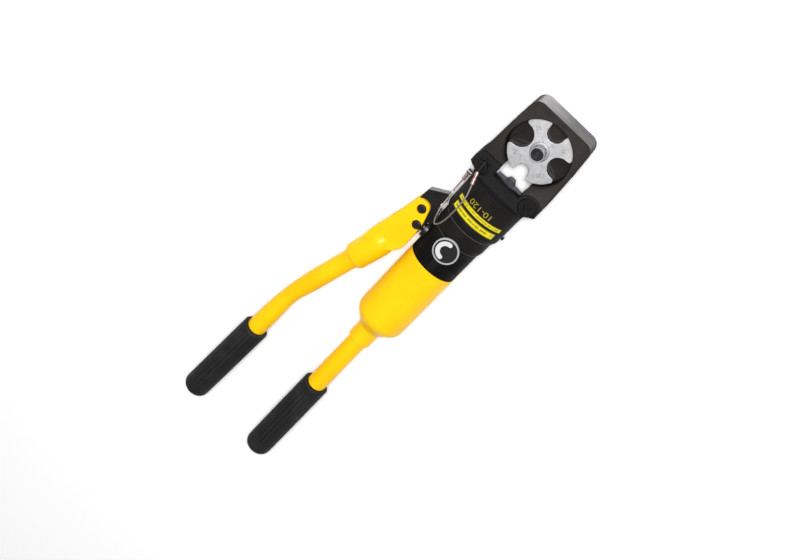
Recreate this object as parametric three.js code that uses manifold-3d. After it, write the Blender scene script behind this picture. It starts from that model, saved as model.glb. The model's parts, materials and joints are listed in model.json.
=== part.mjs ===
// Hydraulic crimping tool with a rotary die: three.js model in millimetres, +Z up.
//
// The tool lies on its back. +Y runs along its axis to the head, +X is to the right when the
// front is seen from above, and +Z points out of the front. Inside this file the zero point is
// the centre of the rotary die. The last step moves the tool so that the zero point is at the
// bottom centre of its box.

import * as THREE from 'three';
import { mergeVertices } from 'three/addons/utils/BufferGeometryUtils.js';
import Module from 'manifold-3d';

const wasm = await Module();
wasm.setup();

// ---------------------------------------------------------------- driving dimensions

const GAP = 0.3;                 // between pieces that touch
const RUNNING_GAP = 0.35;        // between a pin and its hole
const THROUGH = 20;              // how far hole cutters reach to the front and the back
const ROUND = 24;                // sides of a large round piece
const SMALL_ROUND = 16;          // sides of a small round piece
const BIG_ROUND = 32;            // sides of the barrel, pump body and reservoir

// head
const HEAD_HALF_THICKNESS = 14.7;
const HEAD_TOP = 34.7;
const HEAD_HALF_WIDTH = 34.4;
const SLOT_HALF_WIDTH = 13.8;
const SLOT_TOP = -13;
const TONGUE_HALF_THICKNESS = 5;
const RIGHT_TONGUE_RADIUS = 8.6;
const LEFT_TONGUE_RADIUS = 8.4;
const CLEVIS_HALF_GAP = 5.4;
const HINGE = { x: 24.4, y: -39.4 };
const LATCH = { x: -25.9, y: -39.9 };
const LUG_RADIUS = 11.1;
const LEFT_LUG_TOP = -28.2;
const LEFT_LUG_SIDE = -36.2;
const BRIDGE_TOP = -38.5;        // of the clevis's front plate
const REAR_BRIDGE_TOP = -44.6;
const PIN_RADIUS = 3.9;
const PIN_BACK = -14.4;
const HINGE_HEAD = { radius: 7.8, seat: 11.6, top: 14.6 };
const HINGE_RING = { inner: 4.2, outer: 5.8, seatRadius: 6.2, seat: -13.2 };
const LATCH_KNOB = { radius: 5.6, foot: 12.9, top: 18.6 };
const LATCH_SEAT = { radius: 7.6, floor: 12.4 };
const SHAFT_RADIUS = 4.9;
const WASHER_BORE = 5.2;
const WASHER_RADIUS = 8.2;
const SLEEVE_RADIUS = 6.3;
const DETENT = { x: 14, y: 14 };
const DETENT_HOLE_RADIUS = 2.2;

// rotary die
const DIE_RADIUS = 27.3;
const DIE_HALF_THICKNESS = 5.7;
const DIE_BORE = 5.5;
const POCKET_RADIUS = 28.5;
const POCKET_FLOOR = -6;
const LOBE_ROUNDING = 2.2;
const LOBE_EASE = 0.12;          // radians of rim that the rounding may use
// direction from the centre (degrees), distance of the notch's bottom from the centre, its
// radius, and half its width at the rim
const DIE_NOTCHES = [
  { angle: -90, depth: 16.0, radius: 5.9, halfMouth: 6.9 },
  { angle: 0, depth: 11.1, radius: 9.4, halfMouth: 10.05 },
  { angle: 90, depth: 12.5, radius: 7.6, halfMouth: 8.1 },
  { angle: 180, depth: 10.0, radius: 10.6, halfMouth: 11 },
];

// barrel, pump body and reservoir, all on the tool's axis
const LEDGE = -48.5;
const BARREL_RADIUS = 27;
const BARREL_FOOT = -88;
const BORE_RADIUS = 19.2;
const SIDE_SCREW = { y: -77.9 };
const ANCHOR = { y: -54.5, z: 3 };
const UPPER_LABEL = { top: -67.1, foot: -71.4, halfAngle: 0.95 };
const LOWER_LABEL = { top: -73.1, foot: -79.8, halfAngle: 0.88 };
const NECK_RADIUS = 24.3;
const BODY_RADIUS = 22.9;
const BODY_TOP = -104.3;
const BODY_FOOT = -136.4;
const RESERVOIR_FOOT = -225.7;
const COLLAR_RADIUS = 10.6;
const COLLAR_FOOT = -238.6;
const HANDLE_RADIUS = 8.4;
const HANDLE_BORE = 6.4;
const HANDLE_END = -390.2;
const GRIP_RADIUS = 12.1;
const GRIP_MOUTH = -298.8;
const GRIP_END = -393.6;

// ram and punch
const PISTON_FOOT = -94.6;
const PISTON_HEIGHT = 10;
const PISTON_RADIUS = 18.8;
const SEAL_GROOVE_RADIUS = 16.8;
const ROD_RADIUS = 9.5;
const ROD_CHANNEL_RADIUS = 9.9;
const RAM_SPRING_TOP = -56.8;
const PUNCH_HALF_WIDTH = 12.9;
const PUNCH_HALF_THICKNESS = 3.9;
const PUNCH_SCREW_BORE = 2.3;
const PUNCH_TOP = -38.1;
const PUNCH_FOOT = -47.9;
const NIB_TOP = -34.2;

// pump
const FULCRUM = { x: -37.6, y: -105.8 };
const LINK = { x: -31.8, y: -119.3 };
const LEVER_PIN_RADIUS = 3.8;
const EAR_HALF_THICKNESS = 4.4;
const CHEEK_INSIDE = 4.9;
const CHEEK_OUTSIDE = 8.9;
const PLUNGER_RADIUS = 4;
const PLUNGER_EYE_RADIUS = 7.3;
const PLUNGER_EYE_ROOM = -52;    // the eye moves this far left at full lever swing
const GLAND_RADIUS = 7.5;
const GLAND_FACE = -25.2;
const GLAND_SEAT = -18.9;
const DELIVERY = { x: -8 };
const SUCTION = { x: -4 };
const VALVE_BALL_RADIUS = 2.2;
const VALVE_ROOM_RADIUS = 2.7;
const VALVE_SPRING_RADIUS = 1.7;
const VALVE_PLUG_RADIUS = 2.4;
const RELIEF = { x: 6, y: -127 };
const KNOB = { x: 1.1, y: -110.4, radius: 11.5, face: 28.2 };
const KNOB_ARC = { inner: 4.8, outer: 8.8, from: 94, to: 266 };

// lever tube: the straight leg leans out from the pump, then bends back beside the handle
const LEVER_LEAN = THREE.MathUtils.degToRad(15.2);
const LEVER_FOOT = { x: -53.5, y: -189.4 };
const LEVER_BEND = -65.9;        // height of the bend's corner above the leg's foot
const SOCKET_RADIUS = 12.3;
const SOCKET_FOOT = 6;           // heights above the leg's foot
const SOCKET_TOP = 42;
const CHEEK_SIDE_FOOT = 39;      // where the cheeks start to run into the socket
const CHEEK_FOOT = 32;
const CHEEK_RIGHT = -27.3;
const CHEEK_LEFT_OFFSET = -13.4; // from the leg's axis
const LEVER_GRIP_MOUTH = { x: -73.1, y: -299.8 };
const LEVER_GRIP_LEAN = THREE.MathUtils.degToRad(2.9);
const LEVER_GRIP_LENGTH = 94.5;

// ---------------------------------------------------------------- materials

function finish(color, roughness, metalness) {
  return new THREE.MeshStandardMaterial({ color, roughness, metalness });
}

const blackened = finish(0x24231f, 0.45, 0.7);
const yokeBlack = finish(0x3a3531, 0.5, 0.6);
const yellowPaint = finish(0xffc800, 0.35, 0.1);
const dieSteel = finish(0xcfcfd2, 0.35, 0.9);
const brightSteel = finish(0xc4c4c8, 0.25, 1);
const darkSteel = finish(0x3b3a42, 0.35, 0.9);
const gripRubber = finish(0x1c1b1a, 0.8, 0);
const sealRubber = finish(0x151515, 0.7, 0);
const labelYellow = finish(0xe6dc1e, 0.4, 0);
const knobBlack = finish(0x222426, 0.45, 0.1);
const whitePlastic = finish(0xe2e2e2, 0.5, 0);
const copper = finish(0xd9a58f, 0.35, 0.9);
const wireSteel = finish(0xa39a94, 0.4, 0.8);

// ---------------------------------------------------------------- shape tools

function toSolid(geometry) {
  const bare = geometry.clone();
  bare.deleteAttribute('normal');
  bare.deleteAttribute('uv');
  const merged = mergeVertices(bare, 1e-4);
  return new wasm.Manifold(new wasm.Mesh({
    numProp: 3,
    vertProperties: Float32Array.from(merged.attributes.position.array),
    triVerts: Uint32Array.from(merged.index.array),
  }));
}

function toGeometry(solid) {
  const mesh = solid.getMesh();
  const geometry = new THREE.BufferGeometry();
  geometry.setAttribute('position', new THREE.BufferAttribute(mesh.vertProperties, 3));
  geometry.setIndex(new THREE.BufferAttribute(mesh.triVerts, 1));
  geometry.computeVertexNormals();
  return geometry;
}

// A round shape about the y axis, from a closed outline of [radius, y] points.
function turnedGeometry(outline, sides) {
  const points = outline.map(([radius, y]) => new THREE.Vector2(radius, y));
  if (THREE.ShapeUtils.area(points) < 0) points.reverse();
  const onAxis = points[0].x === 0 && points.at(-1).x === 0;
  if (!onAxis) points.push(points[0].clone());
  return new THREE.LatheGeometry(points, sides);
}

// A round solid on the tool's axis.
function turned(outline, sides = ROUND) {
  return toSolid(turnedGeometry(outline, sides));
}

// A ring or a tube on the tool's axis.
function ring(inner, outer, top, foot, sides = ROUND) {
  return turned([[inner, foot], [outer, foot], [outer, top], [inner, top]], sides);
}

// A round bar between two heights, along x, y or z.
function bar(axis, radius, from, to, centre = {}, sides = SMALL_ROUND) {
  const geometry = new THREE.CylinderGeometry(radius, radius, to - from, sides);
  if (axis === 'z') geometry.rotateX(Math.PI / 2);
  if (axis === 'x') geometry.rotateZ(Math.PI / 2);
  const middle = { x: 0, y: 0, z: 0, ...centre, [axis]: (from + to) / 2 };
  geometry.translate(middle.x, middle.y, middle.z);
  return toSolid(geometry);
}

function block(from, to) {
  const size = to.map((high, index) => high - from[index]);
  const geometry = new THREE.BoxGeometry(...size);
  geometry.translate(...to.map((high, index) => (high + from[index]) / 2));
  return toSolid(geometry);
}

// A flat plate from an outline in the front view, between two depths.
function plate(shape, back, front, curveSegments = 8) {
  const geometry = new THREE.ExtrudeGeometry(shape, {
    depth: front - back,
    bevelEnabled: false,
    curveSegments,
  });
  geometry.translate(0, 0, back);
  return toSolid(geometry);
}

function outline(points) {
  return new THREE.Shape(points.map(([x, y]) => new THREE.Vector2(x, y)));
}

function circleShape(centre, radius) {
  const shape = new THREE.Shape();
  shape.absarc(centre.x, centre.y, radius, 0, 2 * Math.PI);
  return shape;
}

function sweep(section, path, steps) {
  return toSolid(new THREE.ExtrudeGeometry(section, {
    steps,
    extrudePath: path,
    bevelEnabled: false,
    curveSegments: 4,
  }));
}

// A coil spring around a line that runs along x, y or z.
function coil(axis, centre, radius, wire, from, to, turns) {
  const points = [];
  const count = turns * 8;
  for (let step = 0; step <= count; step += 1) {
    const angle = (step / 8) * 2 * Math.PI;
    const along = from + wire + ((to - from - 2 * wire) * step) / count;
    const across = [Math.cos(angle) * radius, Math.sin(angle) * radius];
    const point = { x: 0, y: 0, z: 0, ...centre };
    const others = ['x', 'y', 'z'].filter((name) => name !== axis);
    point[axis] = along;
    point[others[0]] += across[0];
    point[others[1]] += across[1];
    points.push(new THREE.Vector3(point.x, point.y, point.z));
  }
  const section = new THREE.Shape();
  section.absarc(0, 0, wire, 0, 2 * Math.PI);
  return toSolid(new THREE.ExtrudeGeometry(section, {
    steps: count,
    extrudePath: new THREE.CatmullRomCurve3(points),
    bevelEnabled: false,
    curveSegments: 2,
  }));
}

function ball(radius, centre) {
  const geometry = new THREE.SphereGeometry(radius, 12, 8);
  geometry.translate(centre.x, centre.y, centre.z);
  return toSolid(geometry);
}

const tool = new THREE.Group();

function addPart(name, solid, material) {
  const mesh = new THREE.Mesh(toGeometry(solid), material);
  mesh.name = name;
  tool.add(mesh);
}

// ---------------------------------------------------------------- swinging head

function yokeOutline() {
  const shape = new THREE.Shape();
  const right = HEAD_HALF_WIDTH;
  shape.moveTo(SLOT_HALF_WIDTH, -34);
  shape.lineTo(right, -34);
  shape.lineTo(right, -24);
  shape.quadraticCurveTo(right, -6, 32.9, 8);
  shape.lineTo(30.8, 27);
  shape.quadraticCurveTo(29.8, HEAD_TOP - 0.8, 23.4, HEAD_TOP);
  shape.lineTo(-23.4, HEAD_TOP);
  shape.quadraticCurveTo(-29.8, HEAD_TOP - 0.8, -30.8, 27);
  shape.lineTo(-32.9, 8);
  shape.quadraticCurveTo(-right, -6, -right, -24);
  shape.lineTo(-right, LEFT_LUG_TOP + 2 * GAP);
  shape.lineTo(-SLOT_HALF_WIDTH, LEFT_LUG_TOP + 2 * GAP);
  shape.lineTo(-SLOT_HALF_WIDTH, SLOT_TOP);
  shape.lineTo(SLOT_HALF_WIDTH, SLOT_TOP);
  return shape;
}

function yoke() {
  const thick = HEAD_HALF_THICKNESS;
  const tongue = TONGUE_HALF_THICKNESS;
  const lugRoom = bar('z', LUG_RADIUS + GAP, -THROUGH, THROUGH, HINGE, 36);
  const rightTongue = plate(circleShape(HINGE, RIGHT_TONGUE_RADIUS), -tongue, tongue)
    .add(plate(outline([[16, -40], [33, -40], [33, -28], [16, -28]]), -tongue, tongue));
  const leftTongue = plate(circleShape(LATCH, LEFT_TONGUE_RADIUS), -tongue, tongue)
    .add(plate(outline([[-34.2, -40], [-17.6, -40], [-17.6, -27], [-34.2, -27]]), -tongue, tongue));
  const pinHole = PIN_RADIUS + RUNNING_GAP;
  const pinNotch = block([LATCH.x - pinHole, -60, -THROUGH], [LATCH.x + pinHole, LATCH.y, THROUGH]);
  return plate(yokeOutline(), -thick, thick)
    .subtract(lugRoom)
    .add(rightTongue)
    .add(leftTongue)
    .subtract(bar('z', POCKET_RADIUS, POCKET_FLOOR, THROUGH, {}, 44))
    .subtract(block([-SLOT_HALF_WIDTH, -60, -THROUGH], [SLOT_HALF_WIDTH, -20, THROUGH]))
    .subtract(bar('z', WASHER_BORE, -THROUGH, 0))
    .subtract(bar('z', pinHole, -THROUGH, THROUGH, HINGE))
    .subtract(bar('z', pinHole, -THROUGH, THROUGH, LATCH))
    .subtract(pinNotch)
    .subtract(bar('z', DETENT_HOLE_RADIUS, -THROUGH, 0, DETENT));
}

function onRim(angle) {
  return new THREE.Vector2(DIE_RADIUS * Math.cos(angle), DIE_RADIUS * Math.sin(angle));
}

// Points along an arc that rounds the corner between two straight runs.
function roundedCorner(before, corner, after, radius, steps = 5) {
  const back = before.clone().sub(corner).normalize();
  const ahead = after.clone().sub(corner).normalize();
  const half = Math.acos(back.dot(ahead)) / 2;
  const centre = back.clone().add(ahead).setLength(radius / Math.sin(half)).add(corner);
  const start = back.setLength(radius / Math.tan(half)).add(corner).sub(centre);
  const end = ahead.setLength(radius / Math.tan(half)).add(corner).sub(centre);
  const turn = Math.atan2(start.cross(end), start.dot(end));
  const points = [];
  for (let step = 0; step <= steps; step += 1) {
    const spoke = start.clone().rotateAround(new THREE.Vector2(), (turn * step) / steps);
    points.push(spoke.add(centre));
  }
  return points;
}

// Where a notch leaves the rim, as an angle from the notch's own direction.
function mouthAngle(notch) {
  return Math.asin(notch.halfMouth / DIE_RADIUS);
}

function notchOutline(notch) {
  const steps = 14;
  const { depth, radius } = notch;
  const mouth = mouthAngle(notch);
  const low = new THREE.Vector2(depth + radius, -radius);
  const high = new THREE.Vector2(depth + radius, radius);
  const points = roundedCorner(onRim(-mouth - LOBE_EASE), onRim(-mouth), low, LOBE_ROUNDING);
  for (let step = 0; step <= steps; step += 1) {
    const bend = -Math.PI / 2 - (Math.PI * step) / steps;
    const x = depth + radius + radius * Math.cos(bend);
    points.push(new THREE.Vector2(x, radius * Math.sin(bend)));
  }
  points.push(...roundedCorner(high, onRim(mouth), onRim(mouth + LOBE_EASE), LOBE_ROUNDING));
  const turn = THREE.MathUtils.degToRad(notch.angle);
  return points.map((point) => point.rotateAround(new THREE.Vector2(), turn));
}

// The wheel: its notches in turn, each followed by the piece of rim up to the next one.
function dieShape() {
  const rimSteps = 5;
  const points = [];
  DIE_NOTCHES.forEach((notch, index) => {
    const next = DIE_NOTCHES[(index + 1) % DIE_NOTCHES.length];
    const from = THREE.MathUtils.degToRad(notch.angle) + mouthAngle(notch) + LOBE_EASE;
    const to = THREE.MathUtils.degToRad(notch.angle + 90) - mouthAngle(next) - LOBE_EASE;
    points.push(...notchOutline(notch));
    for (let step = 0; step <= rimSteps; step += 1) {
      points.push(onRim(from + ((to - from) * step) / rimSteps));
    }
  });
  return new THREE.Shape(points);
}

function rotaryDie() {
  return plate(dieShape(), -DIE_HALF_THICKNESS, DIE_HALF_THICKNESS)
    .subtract(bar('z', DIE_BORE, -THROUGH, THROUGH));
}

function addHead() {
  addPart('yoke', yoke(), yokeBlack);
  addPart('rotary_die', rotaryDie(), dieSteel);
  const shaft = bar('z', SHAFT_RADIUS, -14.5, 16)
    .add(bar('z', DIE_BORE - RUNNING_GAP, POCKET_FLOOR + GAP, DIE_HALF_THICKNESS + 0.2));
  addPart('die_shaft', shaft, darkSteel);
  const washerBore = bar('z', WASHER_BORE, 0, THROUGH);
  const washer = bar('z', WASHER_RADIUS, 6, 7.4, {}, 24).subtract(washerBore);
  addPart('die_washer', washer, brightSteel);
  const sleeve = bar('z', SLEEVE_RADIUS, 7.7, 16.6, {}, 24).subtract(washerBore);
  addPart('die_sleeve', sleeve, brightSteel);
  addPart('detent_ball', ball(1.8, { ...DETENT, z: -8 }), brightSteel);
  addPart('detent_spring', coil('z', DETENT, 1.2, 0.3, -13, -10.1, 3), brightSteel);
  addPart('detent_plug', bar('z', 1.9, -14.6, -13.3, DETENT), blackened);
}

// ---------------------------------------------------------------- barrel with its clevis

function clevisOutline(bridgeTop) {
  const shape = new THREE.Shape();
  const lugStart = Math.PI - Math.asin(Math.max(0, bridgeTop - HINGE.y) / LUG_RADIUS);
  shape.moveTo(LEFT_LUG_SIDE, -42);
  shape.lineTo(LEFT_LUG_SIDE, LEFT_LUG_TOP - 7);
  shape.quadraticCurveTo(LEFT_LUG_SIDE, LEFT_LUG_TOP, LEFT_LUG_SIDE + 3, LEFT_LUG_TOP);
  shape.lineTo(-SLOT_HALF_WIDTH - 0.2, LEFT_LUG_TOP);
  shape.lineTo(-SLOT_HALF_WIDTH - 0.2, bridgeTop);
  shape.lineTo(HINGE.x + LUG_RADIUS * Math.cos(lugStart), bridgeTop);
  shape.absarc(HINGE.x, HINGE.y, LUG_RADIUS, lugStart, 0.45, true);
  shape.lineTo(HEAD_HALF_WIDTH, -42);
  shape.lineTo(30.2, -44.4);
  shape.lineTo(27, -46.6);
  shape.lineTo(26.4, LEDGE - 2);
  shape.lineTo(-26.4, LEDGE - 2);
  shape.lineTo(-28.6, -46.4);
  shape.lineTo(-33.4, -43.6);
  return shape;
}

function barrel() {
  const thick = HEAD_HALF_THICKNESS;
  const pinHole = PIN_RADIUS + RUNNING_GAP;
  const bore = BORE_RADIUS;
  const shell = turned([
    [bore, BODY_TOP + GAP], [bore + 1.5, BODY_TOP + GAP], [bore + 1.5, BARREL_FOOT],
    [24.6, BARREL_FOOT], [25.4, -86.5], [26.8, -83.5], [BARREL_RADIUS, -82],
    [BARREL_RADIUS, -60], [27.3, -58], [27.3, -49.6], [26.3, LEDGE], [ROD_CHANNEL_RADIUS, LEDGE],
    [ROD_CHANNEL_RADIUS, -50.6], [bore, -50.6],
  ], BIG_ROUND);
  return shell
    .add(plate(clevisOutline(BRIDGE_TOP), CLEVIS_HALF_GAP, thick))
    .add(plate(clevisOutline(REAR_BRIDGE_TOP), -thick, -CLEVIS_HALF_GAP))
    .subtract(bar('y', bore, -90, -50.6, {}, BIG_ROUND))
    .subtract(bar('y', ROD_CHANNEL_RADIUS, -52, BRIDGE_TOP + 1, {}, BIG_ROUND))
    .subtract(bar('z', pinHole, -THROUGH, THROUGH, HINGE))
    .subtract(bar('z', pinHole, -THROUGH, THROUGH, LATCH))
    .subtract(bar('z', HINGE_HEAD.radius + GAP, HINGE_HEAD.seat, THROUGH, HINGE, 24))
    .subtract(bar('z', HINGE_RING.seatRadius, -THROUGH, HINGE_RING.seat, HINGE, 24))
    .subtract(bar('z', LATCH_SEAT.radius, LATCH_SEAT.floor, THROUGH, LATCH, 24))
    .subtract(bar('x', 1.3, 20, 30, SIDE_SCREW, 12))
    .subtract(bar('x', 1.6, -30, -22, ANCHOR, 12));
}

// A curved sign plate that follows the barrel's front.
function labelPlate({ top, foot, halfAngle }) {
  const shape = new THREE.Shape();
  const inner = BARREL_RADIUS + GAP;
  const outer = inner + 0.5;
  const start = Math.PI / 2 - halfAngle;
  const end = Math.PI / 2 + halfAngle;
  shape.absarc(0, 0, outer, start, end);
  shape.absarc(0, 0, inner, end, start, true);
  const geometry = new THREE.ExtrudeGeometry(shape, {
    depth: top - foot,
    bevelEnabled: false,
    curveSegments: 10,
  });
  geometry.rotateX(Math.PI / 2);
  geometry.translate(0, top, 0);
  return toSolid(geometry);
}

function addBarrel() {
  addPart('cylinder_barrel', barrel(), blackened);
  const hingePin = bar('z', PIN_RADIUS, PIN_BACK, HINGE_HEAD.top - 1, HINGE)
    .add(bar('z', HINGE_HEAD.radius, HINGE_HEAD.seat + GAP, HINGE_HEAD.top, HINGE, 24));
  addPart('hinge_pin', hingePin, blackened);
  const hingeRing = bar('z', HINGE_RING.outer, PIN_BACK, HINGE_RING.seat - GAP, HINGE, 24)
    .subtract(bar('z', HINGE_RING.inner, -THROUGH, 0, HINGE));
  addPart('hinge_pin_ring', hingeRing, darkSteel);
  addPart('side_screw', bar('x', 1, 21, 27.6, SIDE_SCREW, 12)
    .add(bar('x', 1.8, 27.3, 29, SIDE_SCREW, 12)), blackened);
  addPart('upper_label', labelPlate(UPPER_LABEL), labelYellow);
  addPart('lower_label', labelPlate(LOWER_LABEL), labelYellow);
  addPart('neck_collar', turned([
    [21, -103.9], [23.1, -103.9], [NECK_RADIUS, -99.5], [NECK_RADIUS, -89], [23.8, -88.3],
    [21, -88.3],
  ], BIG_ROUND), blackened);
  addPart('ram_gland', ring(ROD_RADIUS + 0.3, BORE_RADIUS - GAP, -50.9, -56.5), darkSteel);
}

// ---------------------------------------------------------------- ram and punch

function addRam() {
  const pistonTop = PISTON_FOOT + PISTON_HEIGHT;
  const piston = turned([
    [0, PISTON_FOOT], [PISTON_RADIUS, PISTON_FOOT], [PISTON_RADIUS, PISTON_FOOT + 3],
    [SEAL_GROOVE_RADIUS, PISTON_FOOT + 3], [SEAL_GROOVE_RADIUS, PISTON_FOOT + 6],
    [PISTON_RADIUS, PISTON_FOOT + 6], [PISTON_RADIUS, pistonTop], [ROD_RADIUS, pistonTop],
    [ROD_RADIUS, PUNCH_FOOT - GAP], [0, PUNCH_FOOT - GAP],
  ]).subtract(bar('y', PUNCH_SCREW_BORE, -60, -40));
  addPart('ram_piston', piston, brightSteel);
  addPart('piston_seal', ring(SEAL_GROOVE_RADIUS + GAP, PISTON_RADIUS + 0.1,
    PISTON_FOOT + 6 - GAP, PISTON_FOOT + 3 + GAP), sealRubber);
  const spring = coil('y', {}, 13.6, 1.6, pistonTop + 0.2, RAM_SPRING_TOP, 4);
  addPart('ram_return_spring', spring, brightSteel);
  const thick = PUNCH_HALF_THICKNESS;
  const nib = outline([[-4, PUNCH_TOP - 1], [4, PUNCH_TOP - 1], [4, PUNCH_TOP], [2.2, NIB_TOP],
    [-2.2, NIB_TOP], [-4, PUNCH_TOP]]);
  const corner = [PUNCH_HALF_WIDTH, PUNCH_TOP, thick];
  const punch = block([-PUNCH_HALF_WIDTH, PUNCH_FOOT, -thick], corner)
    .add(plate(nib, -thick, thick))
    .subtract(bar('y', PUNCH_SCREW_BORE, -60, -43));
  addPart('punch', punch, darkSteel);
  addPart('punch_screw', bar('y', PUNCH_SCREW_BORE - GAP, -58, -43.4, {}, 12), darkSteel);
}

// ---------------------------------------------------------------- latch pin and its lanyard

function addLatch() {
  const pin = bar('z', PIN_RADIUS, -15.6, 15, LATCH)
    .add(bar('z', LATCH_KNOB.radius, LATCH_KNOB.foot, LATCH_KNOB.top, LATCH, 24))
    .subtract(bar('y', WIRE_RADIUS + GAP, -60, -30, { x: LATCH.x, z: 16.8 }, 8));
  addPart('latch_pin', pin, blackened);
}

const WIRE_RADIUS = 0.7;
const FERRULE_RADIUS = 1.5;
const LANYARD_ROUTE = [
  [-20.9, -53.6, 25.6], [-19.4, -58, 26], [-17.6, -64, 26.4], [-16.9, -71, 26.3],
  [-16.7, -78, 25.8], [-16.8, -84.5, 25], [-17, -90, 24], [-18.2, -97, 22.6],
  [-19.9, -101.2, 20.8], [-21.8, -102.8, 18.6], [-23.8, -101, 15.8], [-25.4, -97.6, 12.6],
  [-26.8, -93.5, 9.6], [-27.8, -89, 7.2], [-28.1, -84.5, 6], [-28.5, -80, 5.4],
  [-29.2, -75, 4.4], [-29.6, -69, 3.6], [-29.8, -63.6, 3.1],
];

function addLanyard() {
  const points = LANYARD_ROUTE.map(([x, y, z]) => new THREE.Vector3(x, y, z));
  const section = new THREE.Shape();
  section.absarc(0, 0, WIRE_RADIUS, 0, 2 * Math.PI);
  const wire = sweep(section, new THREE.CatmullRomCurve3(points), 36);
  addPart('lanyard_wire', wire, wireSteel);
  const pinFerrule = straightBar(FERRULE_RADIUS, [-24.8, -43.2, 21.6], [-21.1, -53.2, 25.6]);
  addPart('pin_ferrule', pinFerrule, copper);
  const anchorFerrule = straightBar(FERRULE_RADIUS, [-29.8, -63.2, 3.1], [-30, -57.6, 3]);
  addPart('anchor_ferrule', anchorFerrule, copper);
  addPart('lanyard_anchor', bar('x', 1.3, -30.6, -23, ANCHOR, 12)
    .add(bar('x', 2.3, -32, -27.8, ANCHOR, 12)), brightSteel);
}

function straightBar(radius, from, to, sides = 12) {
  const start = new THREE.Vector3(...from);
  const end = new THREE.Vector3(...to);
  const geometry = new THREE.CylinderGeometry(radius, radius, start.distanceTo(end), sides);
  const direction = end.clone().sub(start).normalize();
  const turn = new THREE.Quaternion().setFromUnitVectors(new THREE.Vector3(0, 1, 0), direction);
  geometry.applyQuaternion(turn);
  const middle = start.add(end).multiplyScalar(0.5);
  geometry.translate(middle.x, middle.y, middle.z);
  return toSolid(geometry);
}

// ---------------------------------------------------------------- pump body and reservoir

function earOutline() {
  const shape = new THREE.Shape();
  shape.moveTo(-18, -112);
  shape.lineTo(-18, BODY_TOP);
  shape.lineTo(-24.8, BODY_TOP + 0.4);
  shape.lineTo(-24.8, -97.6);
  shape.lineTo(-29, -96.8);
  shape.lineTo(-29, -90.6);
  shape.lineTo(-26.8, -89.6);
  shape.lineTo(-26.8, -87.4);
  shape.lineTo(-29, -86.4);
  shape.lineTo(-29, -80.3);
  shape.lineTo(-45.2, -90.2);
  shape.lineTo(-45.6, -97.4);
  shape.lineTo(-45.4, -106);
  shape.absarc(FULCRUM.x, FULCRUM.y, 6.8, Math.PI, 1.5 * Math.PI);
  shape.lineTo(-30, -112);
  return shape;
}

function pumpBody() {
  const spigot = BORE_RADIUS - GAP;
  const body = turned([
    [0, BODY_FOOT - 5], [13, BODY_FOOT - 5], [13, BODY_FOOT], [BODY_RADIUS, BODY_FOOT],
    [BODY_RADIUS, BODY_TOP], [spigot, BODY_TOP], [spigot, PISTON_FOOT - GAP],
    [0, PISTON_FOOT - GAP],
  ], BIG_ROUND);
  const glandRoom = bar('x', GLAND_RADIUS + GAP, PLUNGER_EYE_ROOM, GLAND_SEAT + GAP,
    { y: LINK.y }, 24);
  return body
    .add(plate(earOutline(), -EAR_HALF_THICKNESS, EAR_HALF_THICKNESS))
    .subtract(bar('z', LEVER_PIN_RADIUS + RUNNING_GAP, -THROUGH, THROUGH, FULCRUM))
    .subtract(bar('x', PLUNGER_RADIUS + RUNNING_GAP, -30, 2.6, { y: LINK.y }))
    .subtract(glandRoom)
    .subtract(bar('z', 3.7, 6, 30, KNOB))
    .subtract(bar('y', VALVE_ROOM_RADIUS, -112.6, -90, DELIVERY, 12))
    .subtract(bar('y', 1, -119, -110, DELIVERY, 8))
    .subtract(bar('y', VALVE_ROOM_RADIUS, -150, -126.4, SUCTION, 12))
    .subtract(bar('y', 1, -130, -119, SUCTION, 8))
    .subtract(bar('z', 3.4, -30, -9, RELIEF));
}

function addPumpBody() {
  addPart('pump_body', pumpBody(), blackened);
  const gland = bar('x', GLAND_RADIUS, GLAND_FACE, GLAND_SEAT, { y: LINK.y }, 24)
    .subtract(bar('x', PLUNGER_RADIUS + RUNNING_GAP, -40, 0, { y: LINK.y }));
  addPart('plunger_gland', gland, darkSteel);
}

function valveSpring(centre, from, to) {
  return coil('y', centre, VALVE_SPRING_RADIUS, 0.35, from, to, 4);
}

function addValves() {
  addPart('delivery_ball', ball(VALVE_BALL_RADIUS, { ...DELIVERY, y: -109.6, z: 0 }), brightSteel);
  addPart('delivery_spring', valveSpring(DELIVERY, -107, -98.6), brightSteel);
  addPart('delivery_plug', bar('y', VALVE_PLUG_RADIUS, -98.3, -95.2, DELIVERY, 12), darkSteel);
  addPart('suction_ball', ball(VALVE_BALL_RADIUS, { ...SUCTION, y: -129.4, z: 0 }), brightSteel);
  addPart('suction_spring', valveSpring(SUCTION, -138.4, -132), brightSteel);
  addPart('suction_strainer', bar('y', VALVE_PLUG_RADIUS, -146, -138.8, SUCTION, 12)
    .subtract(bar('y', 1.4, -144.6, -130, SUCTION, 12)), brightSteel);
  addPart('relief_ball', ball(2, { ...RELIEF, z: -11.4 }), brightSteel);
  addPart('relief_spring', coil('z', RELIEF, 2.2, 0.5, -18, -13.8, 3), brightSteel);
  addPart('relief_screw', bar('z', 3.1, -21.4, -18.3, RELIEF)
    .subtract(bar('z', 1.5, -30, -20, RELIEF, 6)), darkSteel);
}

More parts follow.
